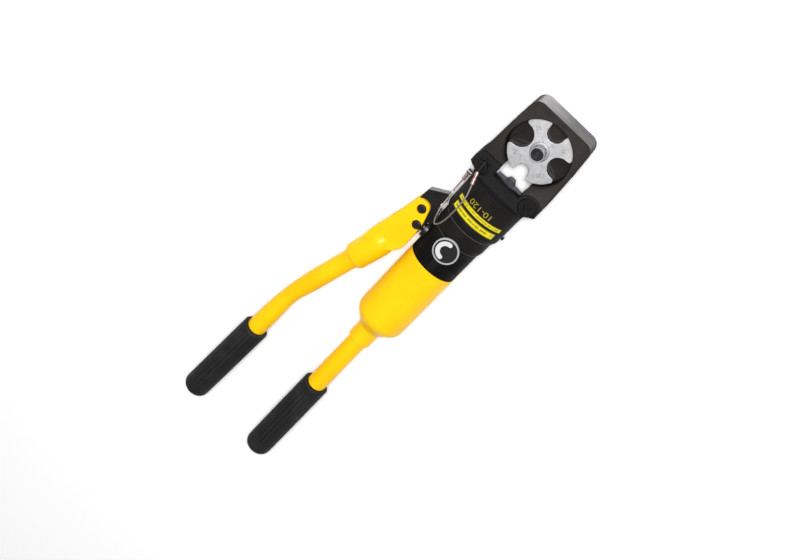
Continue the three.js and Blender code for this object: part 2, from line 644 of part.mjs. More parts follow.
function addReservoir() {
  addPart('reservoir_shell', turned([
    [21, BODY_FOOT - GAP], [23, BODY_FOOT - GAP], [23, -200], [22.8, -207], [21.7, -210.6],
    [19.8, -213.4], [11.3, -222.6], [10.6, RESERVOIR_FOOT], [8.8, RESERVOIR_FOOT], [8.8, -219],
    [17.4, -212.2], [20, -209], [21, -205],
  ], BIG_ROUND), yellowPaint);
  addPart('reservoir_bladder', turned([
    [13.4, -137], [15, -137], [15, -142], [18.4, -147], [18.4, -196], [15, -202], [0, -204],
    [0, -202.4], [14.2, -200.6], [16.8, -195.4], [16.8, -147.4], [13.4, -142.4],
  ], 24), sealRubber);
  addPart('bladder_clamp', ring(15.3, 16.8, -137.4, -141.4, 24), brightSteel);
  addPart('handle_collar', ring(HANDLE_RADIUS + GAP, COLLAR_RADIUS,
    RESERVOIR_FOOT - GAP, COLLAR_FOOT), yellowPaint);
  addPart('handle_tube', ring(HANDLE_BORE, HANDLE_RADIUS, -214, HANDLE_END), yellowPaint);
  addPart('handle_plug', turned([
    [0, -222], [HANDLE_BORE - GAP, -222], [HANDLE_BORE - GAP, -212], [0, -212],
  ], 20), darkSteel);
  addPart('handle_grip', turned(gripProfile(GRIP_MOUTH, GRIP_END, HANDLE_END)), gripRubber);
}

// Half outline of a grip: an open mouth at the top and a rounded closed end.
function gripProfile(mouth, end, tubeEnd) {
  const inside = HANDLE_RADIUS + GAP;
  return [
    [inside, tubeEnd - GAP], [0, tubeEnd - GAP], [0, end], [7.5, end], [10.8, end + 2.2],
    [GRIP_RADIUS, end + 6], [GRIP_RADIUS, mouth - 1.2], [GRIP_RADIUS - 0.8, mouth],
    [inside, mouth],
  ];
}

// ---------------------------------------------------------------- release valve

function addReleaseValve() {
  const centre = { x: KNOB.x, y: KNOB.y };
  const face = KNOB.face;
  const knob = bar('z', KNOB.radius, 25.4, face, centre, 32)
    .add(bar('z', 6, 23.4, 26, centre, 24))
    .subtract(knobRingRoom(centre, face))
    .subtract(plate(arcShape(centre, GAP), face - 0.9, face + 1, 10))
    .subtract(bar('z', 2.2, 20, 26.4, centre, 12));
  addPart('release_knob', knob, knobBlack);
  addPart('knob_ring', bar('z', KNOB.radius - 0.1, face - 0.6, face + 0.1, centre, 32)
    .subtract(bar('z', 10.3, 20, 40, centre, 32)), whitePlastic);
  addPart('knob_arc', plate(arcShape(centre, 0), face - 0.6, face + 0.1, 10), whitePlastic);
  addPart('valve_spindle', bar('z', 3.3, 10, 23, centre)
    .add(bar('z', 1.9, 22, 26.1, centre, 12)), darkSteel);
  addPart('valve_ball', ball(1.8, { ...centre, z: 7.9 }), brightSteel);
}

function knobRingRoom(centre, face) {
  return bar('z', 20, face - 0.9, face + 1, centre, 24)
    .subtract(bar('z', 10, face - 2, face + 2, centre, 32));
}

// A thick arc with round ends round the left half of the knob, a plain turn-direction mark.
function arcShape(centre, margin) {
  const shape = new THREE.Shape();
  const inner = KNOB_ARC.inner - margin;
  const outer = KNOB_ARC.outer + margin;
  const from = THREE.MathUtils.degToRad(KNOB_ARC.from);
  const to = THREE.MathUtils.degToRad(KNOB_ARC.to);
  const middle = (inner + outer) / 2;
  const half = (outer - inner) / 2;
  const at = (angle) => ({
    x: centre.x + middle * Math.cos(angle),
    y: centre.y + middle * Math.sin(angle),
  });
  shape.absarc(centre.x, centre.y, outer, from, to);
  shape.absarc(at(to).x, at(to).y, half, to, to + Math.PI);
  shape.absarc(centre.x, centre.y, inner, to, from, true);
  shape.absarc(at(from).x, at(from).y, half, from - Math.PI, from);
  return shape;
}

// ---------------------------------------------------------------- pump lever

function leverHeadOutline() {
  const shape = new THREE.Shape();
  shape.moveTo(-44.4, -102.6);
  shape.quadraticCurveTo(-42.2, -98.2, -38.2, -98.2);
  shape.quadraticCurveTo(-33.2, -98.4, -31.2, -105);
  shape.lineTo(-28.2, -114.4);
  shape.quadraticCurveTo(-27.2, -122.6, CHEEK_RIGHT, -131);
  shape.lineTo(CHEEK_RIGHT, -143);
  shape.lineTo(-32.6, -150.3);
  const corners = [
    onLeverLeg(CHEEK_SIDE_FOOT, SOCKET_RADIUS - 2),
    onLeverLeg(CHEEK_FOOT, 5),
    onLeverLeg(CHEEK_FOOT, -5),
    onLeverLeg(CHEEK_SIDE_FOOT, CHEEK_LEFT_OFFSET),
  ];
  for (const corner of corners) shape.lineTo(corner.x, corner.y);
  shape.lineTo(-50, -122);
  return shape;
}

// A point beside the straight leg of the lever tube: distance upwards from its foot, then
// offset to the right of its axis.
function onLeverLeg(distance, offset = 0) {
  return new THREE.Vector3(
    LEVER_FOOT.x + distance * Math.sin(LEVER_LEAN) + offset * Math.cos(LEVER_LEAN),
    LEVER_FOOT.y + distance * Math.cos(LEVER_LEAN) - offset * Math.sin(LEVER_LEAN),
    0,
  );
}

function leverBar(radius, from, to, sides = 28) {
  return straightBar(radius, onLeverLeg(from).toArray(), onLeverLeg(to).toArray(), sides);
}

function leverHead() {
  const slot = plate(outline([[-70, -134], [-10, -130], [-10, -80], [-70, -80]]),
    -CHEEK_INSIDE, CHEEK_INSIDE);
  return plate(leverHeadOutline(), -CHEEK_OUTSIDE, CHEEK_OUTSIDE)
    .add(leverBar(SOCKET_RADIUS, SOCKET_FOOT, SOCKET_TOP))
    .subtract(slot)
    .subtract(leverBar(HANDLE_RADIUS + GAP, -10, 30))
    .subtract(bar('z', LEVER_PIN_RADIUS + RUNNING_GAP, -THROUGH, THROUGH, FULCRUM))
    .subtract(bar('z', LEVER_PIN_RADIUS + GAP, -THROUGH, THROUGH, LINK));
}

function gripAxis(distance) {
  return new THREE.Vector3(
    LEVER_GRIP_MOUTH.x - distance * Math.sin(LEVER_GRIP_LEAN),
    LEVER_GRIP_MOUTH.y - distance * Math.cos(LEVER_GRIP_LEAN),
    0,
  );
}

function leverPath(extra) {
  const path = new THREE.CurvePath();
  const bendTop = onLeverLeg(LEVER_BEND + 12);
  const gripTop = gripAxis(-34);
  const corner = onLeverLeg(LEVER_BEND);
  path.add(new THREE.LineCurve3(onLeverLeg(29), bendTop));
  path.add(new THREE.QuadraticBezierCurve3(bendTop, corner, gripTop));
  path.add(new THREE.LineCurve3(gripTop, gripAxis(extra)));
  return path;
}

function tubeSection(radius, bore) {
  const shape = new THREE.Shape();
  shape.absarc(0, 0, radius, 0, 2 * Math.PI);
  const hole = new THREE.Path();
  hole.absarc(0, 0, bore, 0, 2 * Math.PI, true);
  shape.holes.push(hole);
  return shape;
}

function addLever() {
  addPart('lever_head', leverHead(), yellowPaint);
  const tube = toSolid(new THREE.ExtrudeGeometry(tubeSection(HANDLE_RADIUS, HANDLE_BORE), {
    steps: 15,
    extrudePath: leverPath(LEVER_GRIP_LENGTH - 4),
    bevelEnabled: false,
    curveSegments: 8,
  }));
  addPart('lever_tube', tube, yellowPaint);
  const gripOutline = gripProfile(0, -LEVER_GRIP_LENGTH, -LEVER_GRIP_LENGTH + 3.7);
  const grip = turnedGeometry(gripOutline, ROUND);
  grip.rotateZ(-LEVER_GRIP_LEAN);
  grip.translate(LEVER_GRIP_MOUTH.x, LEVER_GRIP_MOUTH.y, 0);
  addPart('lever_grip', toSolid(grip), gripRubber);
  addLeverPin('fulcrum', FULCRUM);
  addLeverPin('link', LINK);
}

// A pin across the lever's two cheeks, held by a clip behind them.
function addLeverPin(name, centre) {
  const pin = bar('z', LEVER_PIN_RADIUS, -10.4, 9.2, centre);
  const clip = bar('z', 5.4, -10.1, -9.2, centre, 20)
    .subtract(bar('z', LEVER_PIN_RADIUS + GAP, -THROUGH, 0, centre));
  addPart(`${name}_pin`, pin, darkSteel);
  addPart(`${name}_clip`, clip, brightSteel);
}

// The eye's slot is longer than the pin is wide, which takes up the arc of the link pin.
function addPlunger() {
  const slotHalf = 1.7;
  const hole = LEVER_PIN_RADIUS + RUNNING_GAP;
  const { x, y } = LINK;
  const slot = bar('z', hole, -THROUGH, THROUGH, { x, y: y + slotHalf })
    .add(bar('z', hole, -THROUGH, THROUGH, { x, y: y - slotHalf }))
    .add(block([x - hole, y - slotHalf, -THROUGH], [x + hole, y + slotHalf, THROUGH]));
  const flats = block([-60, y - THROUGH, -4.5], [THROUGH, y + THROUGH, 4.5]);
  const plunger = bar('x', PLUNGER_RADIUS, -30, -2, { y })
    .add(bar('x', PLUNGER_EYE_RADIUS, x - 5.8, -26.8, { y }, 24))
    .intersect(flats)
    .subtract(slot);
  addPart('pump_plunger', plunger, darkSteel);
}

// ---------------------------------------------------------------- assembly

addHead();
addBarrel();
addRam();
addLatch();
addLanyard();
addPumpBody();
addValves();
addReservoir();
addReleaseValve();
addLever();
addPlunger();

const box = new THREE.Box3().setFromObject(tool);
const centre = box.getCenter(new THREE.Vector3());
tool.position.set(-centre.x, -centre.y, -box.min.z);

export default tool;
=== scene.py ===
"""Looks of the hydraulic crimping tool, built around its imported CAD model.

Pieces are modelled in millimetres about the centre of the rotary die, with +Y towards the head,
+X to the right and +Z out of the front, and are then put in place in metres.
"""

import json
import math
import random

import bmesh
import bpy
from mathutils import Matrix, Vector


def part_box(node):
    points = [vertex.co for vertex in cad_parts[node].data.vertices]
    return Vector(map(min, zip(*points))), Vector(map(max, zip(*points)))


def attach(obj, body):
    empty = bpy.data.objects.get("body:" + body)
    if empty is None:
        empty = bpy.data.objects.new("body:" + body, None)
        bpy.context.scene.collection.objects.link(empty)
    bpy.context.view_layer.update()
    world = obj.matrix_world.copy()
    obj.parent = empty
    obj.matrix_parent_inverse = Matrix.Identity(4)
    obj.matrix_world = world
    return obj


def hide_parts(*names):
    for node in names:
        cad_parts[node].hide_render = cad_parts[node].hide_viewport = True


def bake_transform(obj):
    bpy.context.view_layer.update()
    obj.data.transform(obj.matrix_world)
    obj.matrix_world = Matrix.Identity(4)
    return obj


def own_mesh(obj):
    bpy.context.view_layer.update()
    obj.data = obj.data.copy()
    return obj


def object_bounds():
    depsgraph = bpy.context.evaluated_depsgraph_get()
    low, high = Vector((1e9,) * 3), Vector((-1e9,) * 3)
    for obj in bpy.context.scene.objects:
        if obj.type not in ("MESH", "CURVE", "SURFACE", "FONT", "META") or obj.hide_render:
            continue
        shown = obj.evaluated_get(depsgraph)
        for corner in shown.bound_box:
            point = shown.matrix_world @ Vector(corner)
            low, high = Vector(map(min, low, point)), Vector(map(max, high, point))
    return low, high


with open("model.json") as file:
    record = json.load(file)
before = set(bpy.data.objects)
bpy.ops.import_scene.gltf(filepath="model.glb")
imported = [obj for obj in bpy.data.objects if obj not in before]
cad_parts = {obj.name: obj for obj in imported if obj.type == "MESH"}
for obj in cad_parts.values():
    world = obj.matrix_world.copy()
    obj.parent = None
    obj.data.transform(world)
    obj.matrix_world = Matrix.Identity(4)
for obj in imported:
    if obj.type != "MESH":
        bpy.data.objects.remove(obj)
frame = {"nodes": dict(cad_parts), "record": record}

random.seed(7)
CAD_LOW, CAD_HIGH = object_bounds()
MM = 0.001


def middle(node):
    low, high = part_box(node)
    return (low + high) / 2


DIE_CENTRE = Vector((middle("die_washer").x, middle("die_washer").y, middle("rotary_die").z))


def placed(x, y, z):
    """A point given in millimetres about the die's centre, as metres in the frame."""
    return DIE_CENTRE + Vector((x, y, z)) * MM


# ---------------------------------------- camera

CAMERA_DISTANCE = 1311.0
CAMERA_TILT = math.radians(24.5)
CAMERA_ROLL = math.radians(43.8)
CAMERA_AIM = (-9.75, -170.1, 0.0)
CAMERA_LENS = 69.0


def make_camera():
    data = bpy.data.cameras.new("camera")
    data.lens = CAMERA_LENS
    data.clip_end = 20
    camera = bpy.data.objects.new("camera", data)
    bpy.context.scene.collection.objects.link(camera)
    back = Vector((0, math.sin(CAMERA_TILT), math.cos(CAMERA_TILT)))
    across = Vector((1, 0, 0))
    along = back.cross(across)
    right = across * math.cos(CAMERA_ROLL) + along * math.sin(CAMERA_ROLL)
    up = along * math.cos(CAMERA_ROLL) - across * math.sin(CAMERA_ROLL)
    turn = Matrix((right, up, back)).transposed().to_4x4()
    camera.matrix_world = Matrix.Translation(
        placed(*CAMERA_AIM) + back * CAMERA_DISTANCE * MM) @ turn
    bpy.context.scene.camera = camera


make_camera()

# ---------------------------------------- outlines


def rounded(corners, steps=6):
    """A closed outline from (x, y) or (x, y, radius) corners, with an arc at each radius."""
    points = []
    count = len(corners)
    for index, corner in enumerate(corners):
        here = Vector(corner[:2])
        radius = corner[2] if len(corner) > 2 else 0
        before = (Vector(corners[index - 1][:2]) - here).normalized()
        after = (Vector(corners[(index + 1) % count][:2]) - here).normalized()
        opening = before.angle(after)
        if radius == 0 or opening > math.pi - 1e-3:
            points.append(here)
            continue
        reach = radius / math.tan(opening / 2)
        centre = here + (before + after).normalized() * radius / math.sin(opening / 2)
        start = here + before * reach - centre
        end = here + after * reach - centre
        sweep = start.angle_signed(end)
        for step in range(steps + 1):
            turn = Matrix.Rotation(-sweep * step / steps, 2)
            points.append(centre + turn @ start)
    return points


# ---------------------------------------- solids

EASE_STEPS = 3
SHORTEST_EDGE = 0.15


def add_object(name, mesh_source):
    mesh = bpy.data.meshes.new(name)
    bmesh.ops.recalc_face_normals(mesh_source, faces=mesh_source.faces)
    mesh_source.to_mesh(mesh)
    mesh_source.free()
    piece = bpy.data.objects.new(name, mesh)
    bpy.context.scene.collection.objects.link(piece)
    return piece


def inset(outline, distance):
    """The outline moved inwards by a small distance."""
    points = [Vector(p[:2]) for p in outline]
    count = len(points)
    area = sum(points[k - 1].cross(points[k]) for k in range(count))
    inward = math.copysign(distance, area)
    moved = []
    for k, here in enumerate(points):
        before = (here - points[k - 1]).normalized()
        after = (points[(k + 1) % count] - here).normalized()
        first = Vector((-before.y, before.x))
        second = Vector((-after.y, after.x))
        moved.append(here + (first + second) * inward / max(0.4, 1 + first.dot(second)))
    return moved


def close_rings(source, rings):
    """Joins equal rings of points into the side of a solid, and closes its two ends."""
    count = len(rings[0])
    for first, second in zip(rings, rings[1:]):
        for k in range(count):
            n = (k + 1) % count
            source.faces.new((first[k], first[n], second[n], second[k]))
    source.faces.new(rings[0][::-1])
    source.faces.new(rings[-1])


def slab(name, outline, back, front, ease=0.0):
    """A flat plate from an outline in the front view, between two depths, with eased edges."""
    line = [Vector(p[:2]) for p in outline]
    line = [p for k, p in enumerate(line) if (p - line[k - 1]).length > SHORTEST_EDGE]
    levels = [(0.0, back), (0.0, front)]
    if ease:
        turns = [math.pi / 2 * step / EASE_STEPS for step in range(EASE_STEPS + 1)]
        curve = [(ease * (1 - math.sin(t)), ease * (1 - math.cos(t))) for t in turns]
        levels = [(shift, back + depth) for shift, depth in curve]
        levels += [(shift, front - depth) for shift, depth in reversed(curve)]
    source = bmesh.new()
    rings = [[source.verts.new((p.x, p.y, depth)) for p in inset(line, shift)]
             for shift, depth in levels]
    close_rings(source, rings)
    return add_object(name, source)


def oriented(axis, radius, angle, along):
    """The point at that radius, angle and distance along an axis."""
    a, b = radius * math.cos(angle), radius * math.sin(angle)
    if axis == "x":
        return Vector((along, a, b))
    if axis == "y":
        return Vector((b, along, a))
    return Vector((a, b, along))


def lathe(name, profile, axis="y", centre=(0, 0, 0), sides=96, shape=None):
    """A round solid from a closed half outline of (radius, along[, fillet]) corners.

    shape(angle, radius, along) gives the radius where the solid isn't quite round.
    """
    line = rounded(profile)
    source = bmesh.new()
    rings = []
    for radius, along in line:
        if radius < 1e-6:
            rings.append([source.verts.new(oriented(axis, 0, 0, along))] * sides)
            continue
        ring = []
        for k in range(sides):
            angle = 2 * math.pi * k / sides
            wide = shape(angle, radius, along) if shape else radius
            ring.append(source.verts.new(oriented(axis, wide, angle, along)))
        rings.append(ring)
    for first, second in zip(rings, rings[1:] + rings[:1]):
        for k in range(sides):
            n = (k + 1) % sides
            corners = []
            for vert in (first[k], first[n], second[n], second[k]):
                if vert not in corners:
                    corners.append(vert)
            if len(corners) > 2:
                source.faces.new(corners)
    piece = add_object(name, source)
    piece.data.transform(Matrix.Translation(Vector(centre)))
    return piece


def rod(name, axis, radius, low, high, centre=(0, 0, 0), sides=48):
    """A plain round bar between two heights along an axis."""
    return lathe(name, [(0, low), (radius, low), (radius, high), (0, high)], axis, centre, sides)


def drill(radius, back, front, centre=(0, 0), ease=0.4, sides=64):
    """A cutter for a hole through a plate between two depths, with a small chamfer at each face."""
    wide = radius + ease + 1
    return lathe("drill", [(0, back - 1), (wide, back - 1), (radius, back + ease),
                           (radius, front - ease), (wide, front + 1), (0, front + 1)],
                 "z", (*centre, 0), sides)


def sink(radius, floor, face, centre=(0, 0), ease=0.4, sides=96):
    """A cutter for a round recess from a face down to its floor, with a small chamfer."""
    wide = radius + ease + 1
    return lathe("sink", [(0, floor), (radius, floor), (radius, face - ease),
                          (wide, face + 1), (0, face + 1)], "z", (*centre, 0), sides)


def cuboid(name, low, high):
    outline = [(low[0], low[1]), (high[0], low[1]), (high[0], high[1]), (low[0], high[1])]
    return slab(name, outline, low[2], high[2])


def bake(piece):
    graph = bpy.context.evaluated_depsgraph_get()
    mesh = bpy.data.meshes.new_from_object(piece.evaluated_get(graph))
    piece.modifiers.clear()
    old = piece.data
    piece.data = mesh
    mesh.name = piece.name
    bpy.data.meshes.remove(old)


def combine(piece, tools, operation):
    for tool in tools:
        modifier = piece.modifiers.new("combine", "BOOLEAN")
        modifier.operation = operation
        modifier.solver = "EXACT"
        modifier.object = tool
        bake(piece)
        bpy.data.objects.remove(tool)
    return piece


def cut(piece, *tools):
    return combine(piece, tools, "DIFFERENCE")


def keep_inside(piece, *tools):
    return combine(piece, tools, "INTERSECT")


def join(piece, *others):
    """Adds other finished solids to a piece as they are, without working out where they cross."""
    source = bmesh.new()
    source.from_mesh(piece.data)
    for other in others:
        source.from_mesh(other.data)
        bpy.data.objects.remove(other)
    source.to_mesh(piece.data)
    source.free()
    return piece


def smooth(piece, angle=38):
    piece.data.shade_smooth()
    piece.data.set_sharp_from_angle(angle=math.radians(angle))
    weight = piece.modifiers.new("weight", "WEIGHTED_NORMAL")
    weight.keep_sharp = True
    weight.weight = 80
    bake(piece)
    return piece


def settle(piece, material, body, *nodes, angle=38):
    """Puts a finished piece in place on its body, where it stands for those CAD nodes."""
    smooth(piece, angle)
    piece.data.transform(Matrix.Translation(DIE_CENTRE) @ Matrix.Scale(MM, 4))
    if material:
        piece.data.materials.clear()
        piece.data.materials.append(material)
    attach(piece, body)
    if nodes:
        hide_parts(*nodes)
    return piece


SLOT_OF = {part["node"]: part["material_slot"] for part in frame["record"]["subparts"]}

# ---------------------------------------- materials


class Surface:
    """A procedural material: a Principled shader with helpers for noise, colour and bump."""

    def __init__(self, name, roughness, metallic=0.0, specular=0.5):
        self.material = bpy.data.materials.new(name)
        self.material.use_nodes = True
        self.tree = self.material.node_tree
        self.shader = self.tree.nodes["Principled BSDF"]
        self.shader.inputs["Roughness"].default_value = roughness
        self.shader.inputs["Metallic"].default_value = metallic
        self.shader.inputs["Specular IOR Level"].default_value = specular
        self.place = self.tree.nodes.new("ShaderNodeTexCoord").outputs["Object"]

    def node(self, kind, **settings):
        made = self.tree.nodes.new(kind)
        for key, value in settings.items():
            setattr(made, key, value)
        return made

    def link(self, source, target):
        self.tree.links.new(source, target)

    def noise(self, size_mm, detail=3, stretch=(1, 1, 1)):
        """Noise whose features are about size_mm across, longer where stretch is small."""
        mapping = self.node("ShaderNodeMapping")
        mapping.inputs["Scale"].default_value = stretch
        self.link(self.place, mapping.inputs["Vector"])
        texture = self.node("ShaderNodeTexNoise")
        texture.inputs["Scale"].default_value = 1 / (size_mm * MM)
        texture.inputs["Detail"].default_value = detail
        self.link(mapping.outputs["Vector"], texture.inputs["Vector"])
        return texture.outputs["Fac"]

    def ramp(self, source, low, high, low_value=0.0, high_value=1.0):
        change = self.node("ShaderNodeMapRange")
        change.inputs["From Min"].default_value = low
        change.inputs["From Max"].default_value = high
        change.inputs["To Min"].default_value = low_value
        change.inputs["To Max"].default_value = high_value
        self.link(source, change.inputs["Value"])
        return change.outputs["Result"]

    def mix(self, factor, first, second):
        """A colour between two; each is a colour or a socket."""
        blend = self.node("ShaderNodeMix", data_type="RGBA")
        self.link(factor, blend.inputs["Factor"])
        for socket, value in (("A", first), ("B", second)):
            target = [s for s in blend.inputs if s.name == socket and s.type == "RGBA"][0]
            if hasattr(value, "is_linked"):
                self.link(value, target)
            else:
                target.default_value = (*value, 1)
        return [s for s in blend.outputs if s.type == "RGBA"][0]

    def along(self, axis, low_mm, high_mm):
        """0 to 1 between two places along an axis of the tool, measured from the die's centre."""
        parts = self.node("ShaderNodeSeparateXYZ")
        self.link(self.place, parts.inputs["Vector"])
        zero = getattr(DIE_CENTRE, axis)
        return self.ramp(parts.outputs[axis.upper()], zero + low_mm * MM, zero + high_mm * MM)

    def facing(self, axis, low, high):
        """High on surfaces of the tool that face along an axis."""
        local = self.node("ShaderNodeVectorTransform", vector_type="NORMAL",
                          convert_from="WORLD", convert_to="OBJECT")
        self.link(self.node("ShaderNodeNewGeometry").outputs["Normal"], local.inputs["Vector"])
        parts = self.node("ShaderNodeSeparateXYZ")
        self.link(local.outputs["Vector"], parts.inputs["Vector"])
        return self.ramp(parts.outputs[axis.upper()], low, high)

    def times(self, first, second):
        product = self.node("ShaderNodeMath", operation="MULTIPLY")
        self.link(first, product.inputs[0])
        self.link(second, product.inputs[1])
        return product.outputs["Value"]

    def metal(self, source):
        self.link(source, self.shader.inputs["Metallic"])
        return self

    def edges(self, low=0.52, high=0.6):
        """High on outside edges, for wear and polish."""
        point = self.node("ShaderNodeNewGeometry").outputs["Pointiness"]
        return self.ramp(point, low, high)

    def colour(self, source):
        self.link(source, self.shader.inputs["Base Color"])
        return self

    def rough(self, source):
        self.link(source, self.shader.inputs["Roughness"])
        return self

    def bump(self, source, strength, depth_mm):
        relief = self.node("ShaderNodeBump")
        relief.inputs["Strength"].default_value = strength
        relief.inputs["Distance"].default_value = depth_mm * MM
        self.link(source, relief.inputs["Height"])
        normal = self.shader.inputs["Normal"]
        if normal.is_linked:
            self.link(normal.links[0].from_socket, relief.inputs["Normal"])
        self.link(relief.outputs["Normal"], normal)
        return self


def paint(name, base, shade, roughness=0.38, coat=0.06, specular=0.16):
    """Smooth enamel: slight clouding, orange peel and a clear top."""
    skin = Surface(name, roughness, 0.0, specular)
    clouds = skin.ramp(skin.noise(28, 4), 0.35, 0.65)
    skin.colour(skin.mix(clouds, base, shade))
    skin.rough(skin.ramp(skin.noise(6, 3), 0.3, 0.7, roughness - 0.05, roughness + 0.06))
    skin.bump(skin.noise(1.6, 2), 0.12, 0.05)
    skin.bump(skin.noise(14, 2), 0.15, 0.12)
    skin.shader.inputs["Coat Weight"].default_value = coat
    skin.shader.inputs["Coat Roughness"].default_value = 0.12
    return skin.material


def black_metal(name, base, edge, painted_reflection, reflection_from, reflection_fade=(0, 1, 1), shade=(0, 1, 1)):
    """Blackened steel: cloudy finish, fine grain and worn edges.

    Faces towards the head get a painted reflection, a mottled light grey made partly metallic,
    past two places along y and less of it along two places along x (least). Painted shade
    darkens the colour along shade (y, y, least).
    """
    skin = Surface(name, 0.5, 0.0, 0.06)
    clouds = skin.ramp(skin.noise(11, 5), 0.35, 0.7)
    tone = skin.mix(clouds, base, [c * 1.5 for c in base])
    # painted shade: a darker copy of the tone, blended in along y
    painted_shade_tone = skin.mix(clouds, [c * shade[2] for c in base], [c * shade[2] * 1.5 for c in base])
    shaded = skin.mix(skin.along("y", *shade[:2]), painted_shade_tone, tone)
    worn = skin.mix(skin.edges(), shaded, edge)
    # painted reflection on faces towards the head, in mottled spots, also made partly metallic
    reach = skin.times(skin.along("y", *reflection_from),
                       skin.ramp(skin.along("x", *reflection_fade[:2]), 0, 1, reflection_fade[2], 1))
    reflection_mask = skin.times(skin.facing("y", 0.6, 0.9), reach)
    reflection_patches = skin.times(reflection_mask, skin.ramp(skin.noise(7, 5, (0.3, 1, 1)), 0.2, 0.6, 0.7, 1))
    skin.colour(skin.mix(reflection_patches, worn, painted_reflection))
    skin.metal(skin.ramp(reflection_patches, 0, 1, 0, 0.8))
    skin.rough(skin.ramp(skin.noise(5, 4), 0.3, 0.7, 0.5, 0.66))
    skin.bump(skin.noise(0.9, 4), 0.25, 0.06)
    return skin.material


def steel(name, base, roughness=0.3, stretch=(1, 1, 1), metallic=0.95):
    """Machined steel with fine marks and a little staining."""
    skin = Surface(name, roughness, metallic)
    stain = skin.ramp(skin.noise(9, 5), 0.4, 0.75)
    skin.colour(skin.mix(stain, base, [c * 0.82 for c in base]))
    skin.rough(skin.ramp(skin.noise(3, 4), 0.3, 0.7, roughness - 0.05, roughness + 0.12))
    skin.bump(skin.noise(0.5, 3, stretch), 0.2, 0.03)
    return skin.material


def rubber(name, base, roughness=0.62, specular=0.25):
    """Moulded rubber with a fine matte skin and faint dust."""
    skin = Surface(name, roughness, 0.0, specular)
    dust = skin.ramp(skin.noise(18, 6), 0.5, 0.8)
    skin.colour(skin.mix(dust, base, [c * 1.9 + 0.004 for c in base]))
    skin.rough(skin.ramp(skin.noise(4, 4), 0.3, 0.7, roughness - 0.08, roughness + 0.1))
    skin.bump(skin.noise(0.6, 4), 0.35, 0.06)
    return skin.material


YELLOW = paint("yellow_enamel", (0.97, 0.57, 0.003), (0.92, 0.51, 0.001))
PIPE_YELLOW = paint("pipe_enamel", (0.97, 0.56, 0.002), (0.92, 0.50, 0.001), 0.4, 0.0, 0.15)
# painted reflection in light grey on faces towards the head end above y 24 to 30, strongest on the
# left; painted shade darkens the colour from y 10 down to -38
HEAD_BLACK = black_metal("head_black", (0.019, 0.0155, 0.0135), (0.05, 0.045, 0.04),
                         (0.50, 0.49, 0.50), (24, 30), (6, -38, 0.25), (-38, 10, 0.5))
# painted reflection in grey on faces towards the head below y -70 to -77; painted shade darkens the
# colour towards the foot from y -101 to -112
BODY_BLACK = black_metal("body_black", (0.0085, 0.008, 0.0076), (0.03, 0.03, 0.03),
                         (0.30, 0.29, 0.29), (-70, -77), shade=(-112, -101, 0.45))
# painted reflection in grey on the punch's faces towards the head
PUNCH_STEEL = black_metal("punch_steel", (0.04, 0.038, 0.044), (0.12, 0.12, 0.12),
                          (0.40, 0.40, 0.42), (-80, -60))
DIE_STEEL = steel("die_steel", (0.57, 0.57, 0.58), 0.42, (1, 1, 0.05))
BRIGHT_STEEL = steel("bright_steel", (0.58, 0.58, 0.60), 0.38)
DARK_STEEL = steel("dark_steel", (0.042, 0.041, 0.045), 0.36)
GRIP_RUBBER = rubber("grip_rubber", (0.010, 0.0095, 0.0095))
SEAL_RUBBER = rubber("seal_rubber", (0.010, 0.010, 0.010), 0.5)
KNOB_BLACK = rubber("knob_black", (0.009, 0.010, 0.0095), 0.45)
MARK_WHITE = paint("mark_white", (0.60, 0.60, 0.60), (0.54, 0.54, 0.55), 0.5, 0.0, 0.2)
RIM_GREY = paint("rim_grey", (0.42, 0.42, 0.43), (0.32, 0.32, 0.33), 0.5, 0.0, 0.2)
MARK_STEEL = steel("mark_steel", (0.30, 0.30, 0.31), 0.45)
HUB_STEEL = steel("hub_steel", (0.40, 0.40, 0.41), 0.55)
DULL_STEEL = steel("dull_steel", (0.16, 0.15, 0.15), 0.45)
LABEL_YELLOW = paint("label_yellow", (0.72, 0.62, 0.012), (0.60, 0.50, 0.008), 0.45, 0.0)
NUMBER_YELLOW = paint("number_yellow", (0.36, 0.29, 0.02), (0.28, 0.22, 0.015), 0.5, 0.0, 0.2)
LABEL_INK = paint("label_ink", (0.085, 0.065, 0.01), (0.14, 0.11, 0.015), 0.5, 0.0)
COPPER = steel("copper", (0.52, 0.33, 0.28), 0.42)
WIRE = steel("wire_steel", (0.42, 0.38, 0.35), 0.35)

FINISH_OF = {
    "head_black": HEAD_BLACK, "body_black": BODY_BLACK, "yellow_paint": YELLOW,
    "die_steel": DIE_STEEL, "bright_steel": BRIGHT_STEEL, "dark_steel": DARK_STEEL,
    "grip_rubber": GRIP_RUBBER, "seal_rubber": SEAL_RUBBER, "label_yellow": LABEL_YELLOW,
    "knob_black": KNOB_BLACK, "mark_white": MARK_WHITE, "copper": COPPER, "wire_steel": WIRE,
}
for node_name, node_object in frame["nodes"].items():
    node_object.data.materials.clear()
    node_object.data.materials.append(FINISH_OF[SLOT_OF[node_name]])
frame["nodes"]["lanyard_anchor"].data.materials[0] = DULL_STEEL

# ---------------------------------------- driving sizes, millimetres

CLEARANCE = 0.3                  # all round a pin or a nut in its hole

# head, tongues and clevis
HEAD = 14.7                      # half the head's thickness
HEAD_TOP = 34.7
SIDE = 34.4
SLOT = 13.8                      # half the slot's width
SLOT_TOP = -13
POCKET = 28.5                    # radius of the recess round the die
POCKET_FLOOR = -6
DETENT = (14, 14)
DETENT_HOLE = 2.2
HINGE = (24.4, -39.4)
LATCH = (-25.9, -39.9)
PIN = 3.9                        # radius of the hinge pin and the latch pin
LATCH_SEAT = 7.6
LUG = 11.1
LUG_EASE_ANGLE = 0.45            # radians, where the right lug's round end stops
TONGUE = 5                       # half a tongue's thickness
CLEVIS_GAP = 5.4                 # half the gap that the tongues sit in

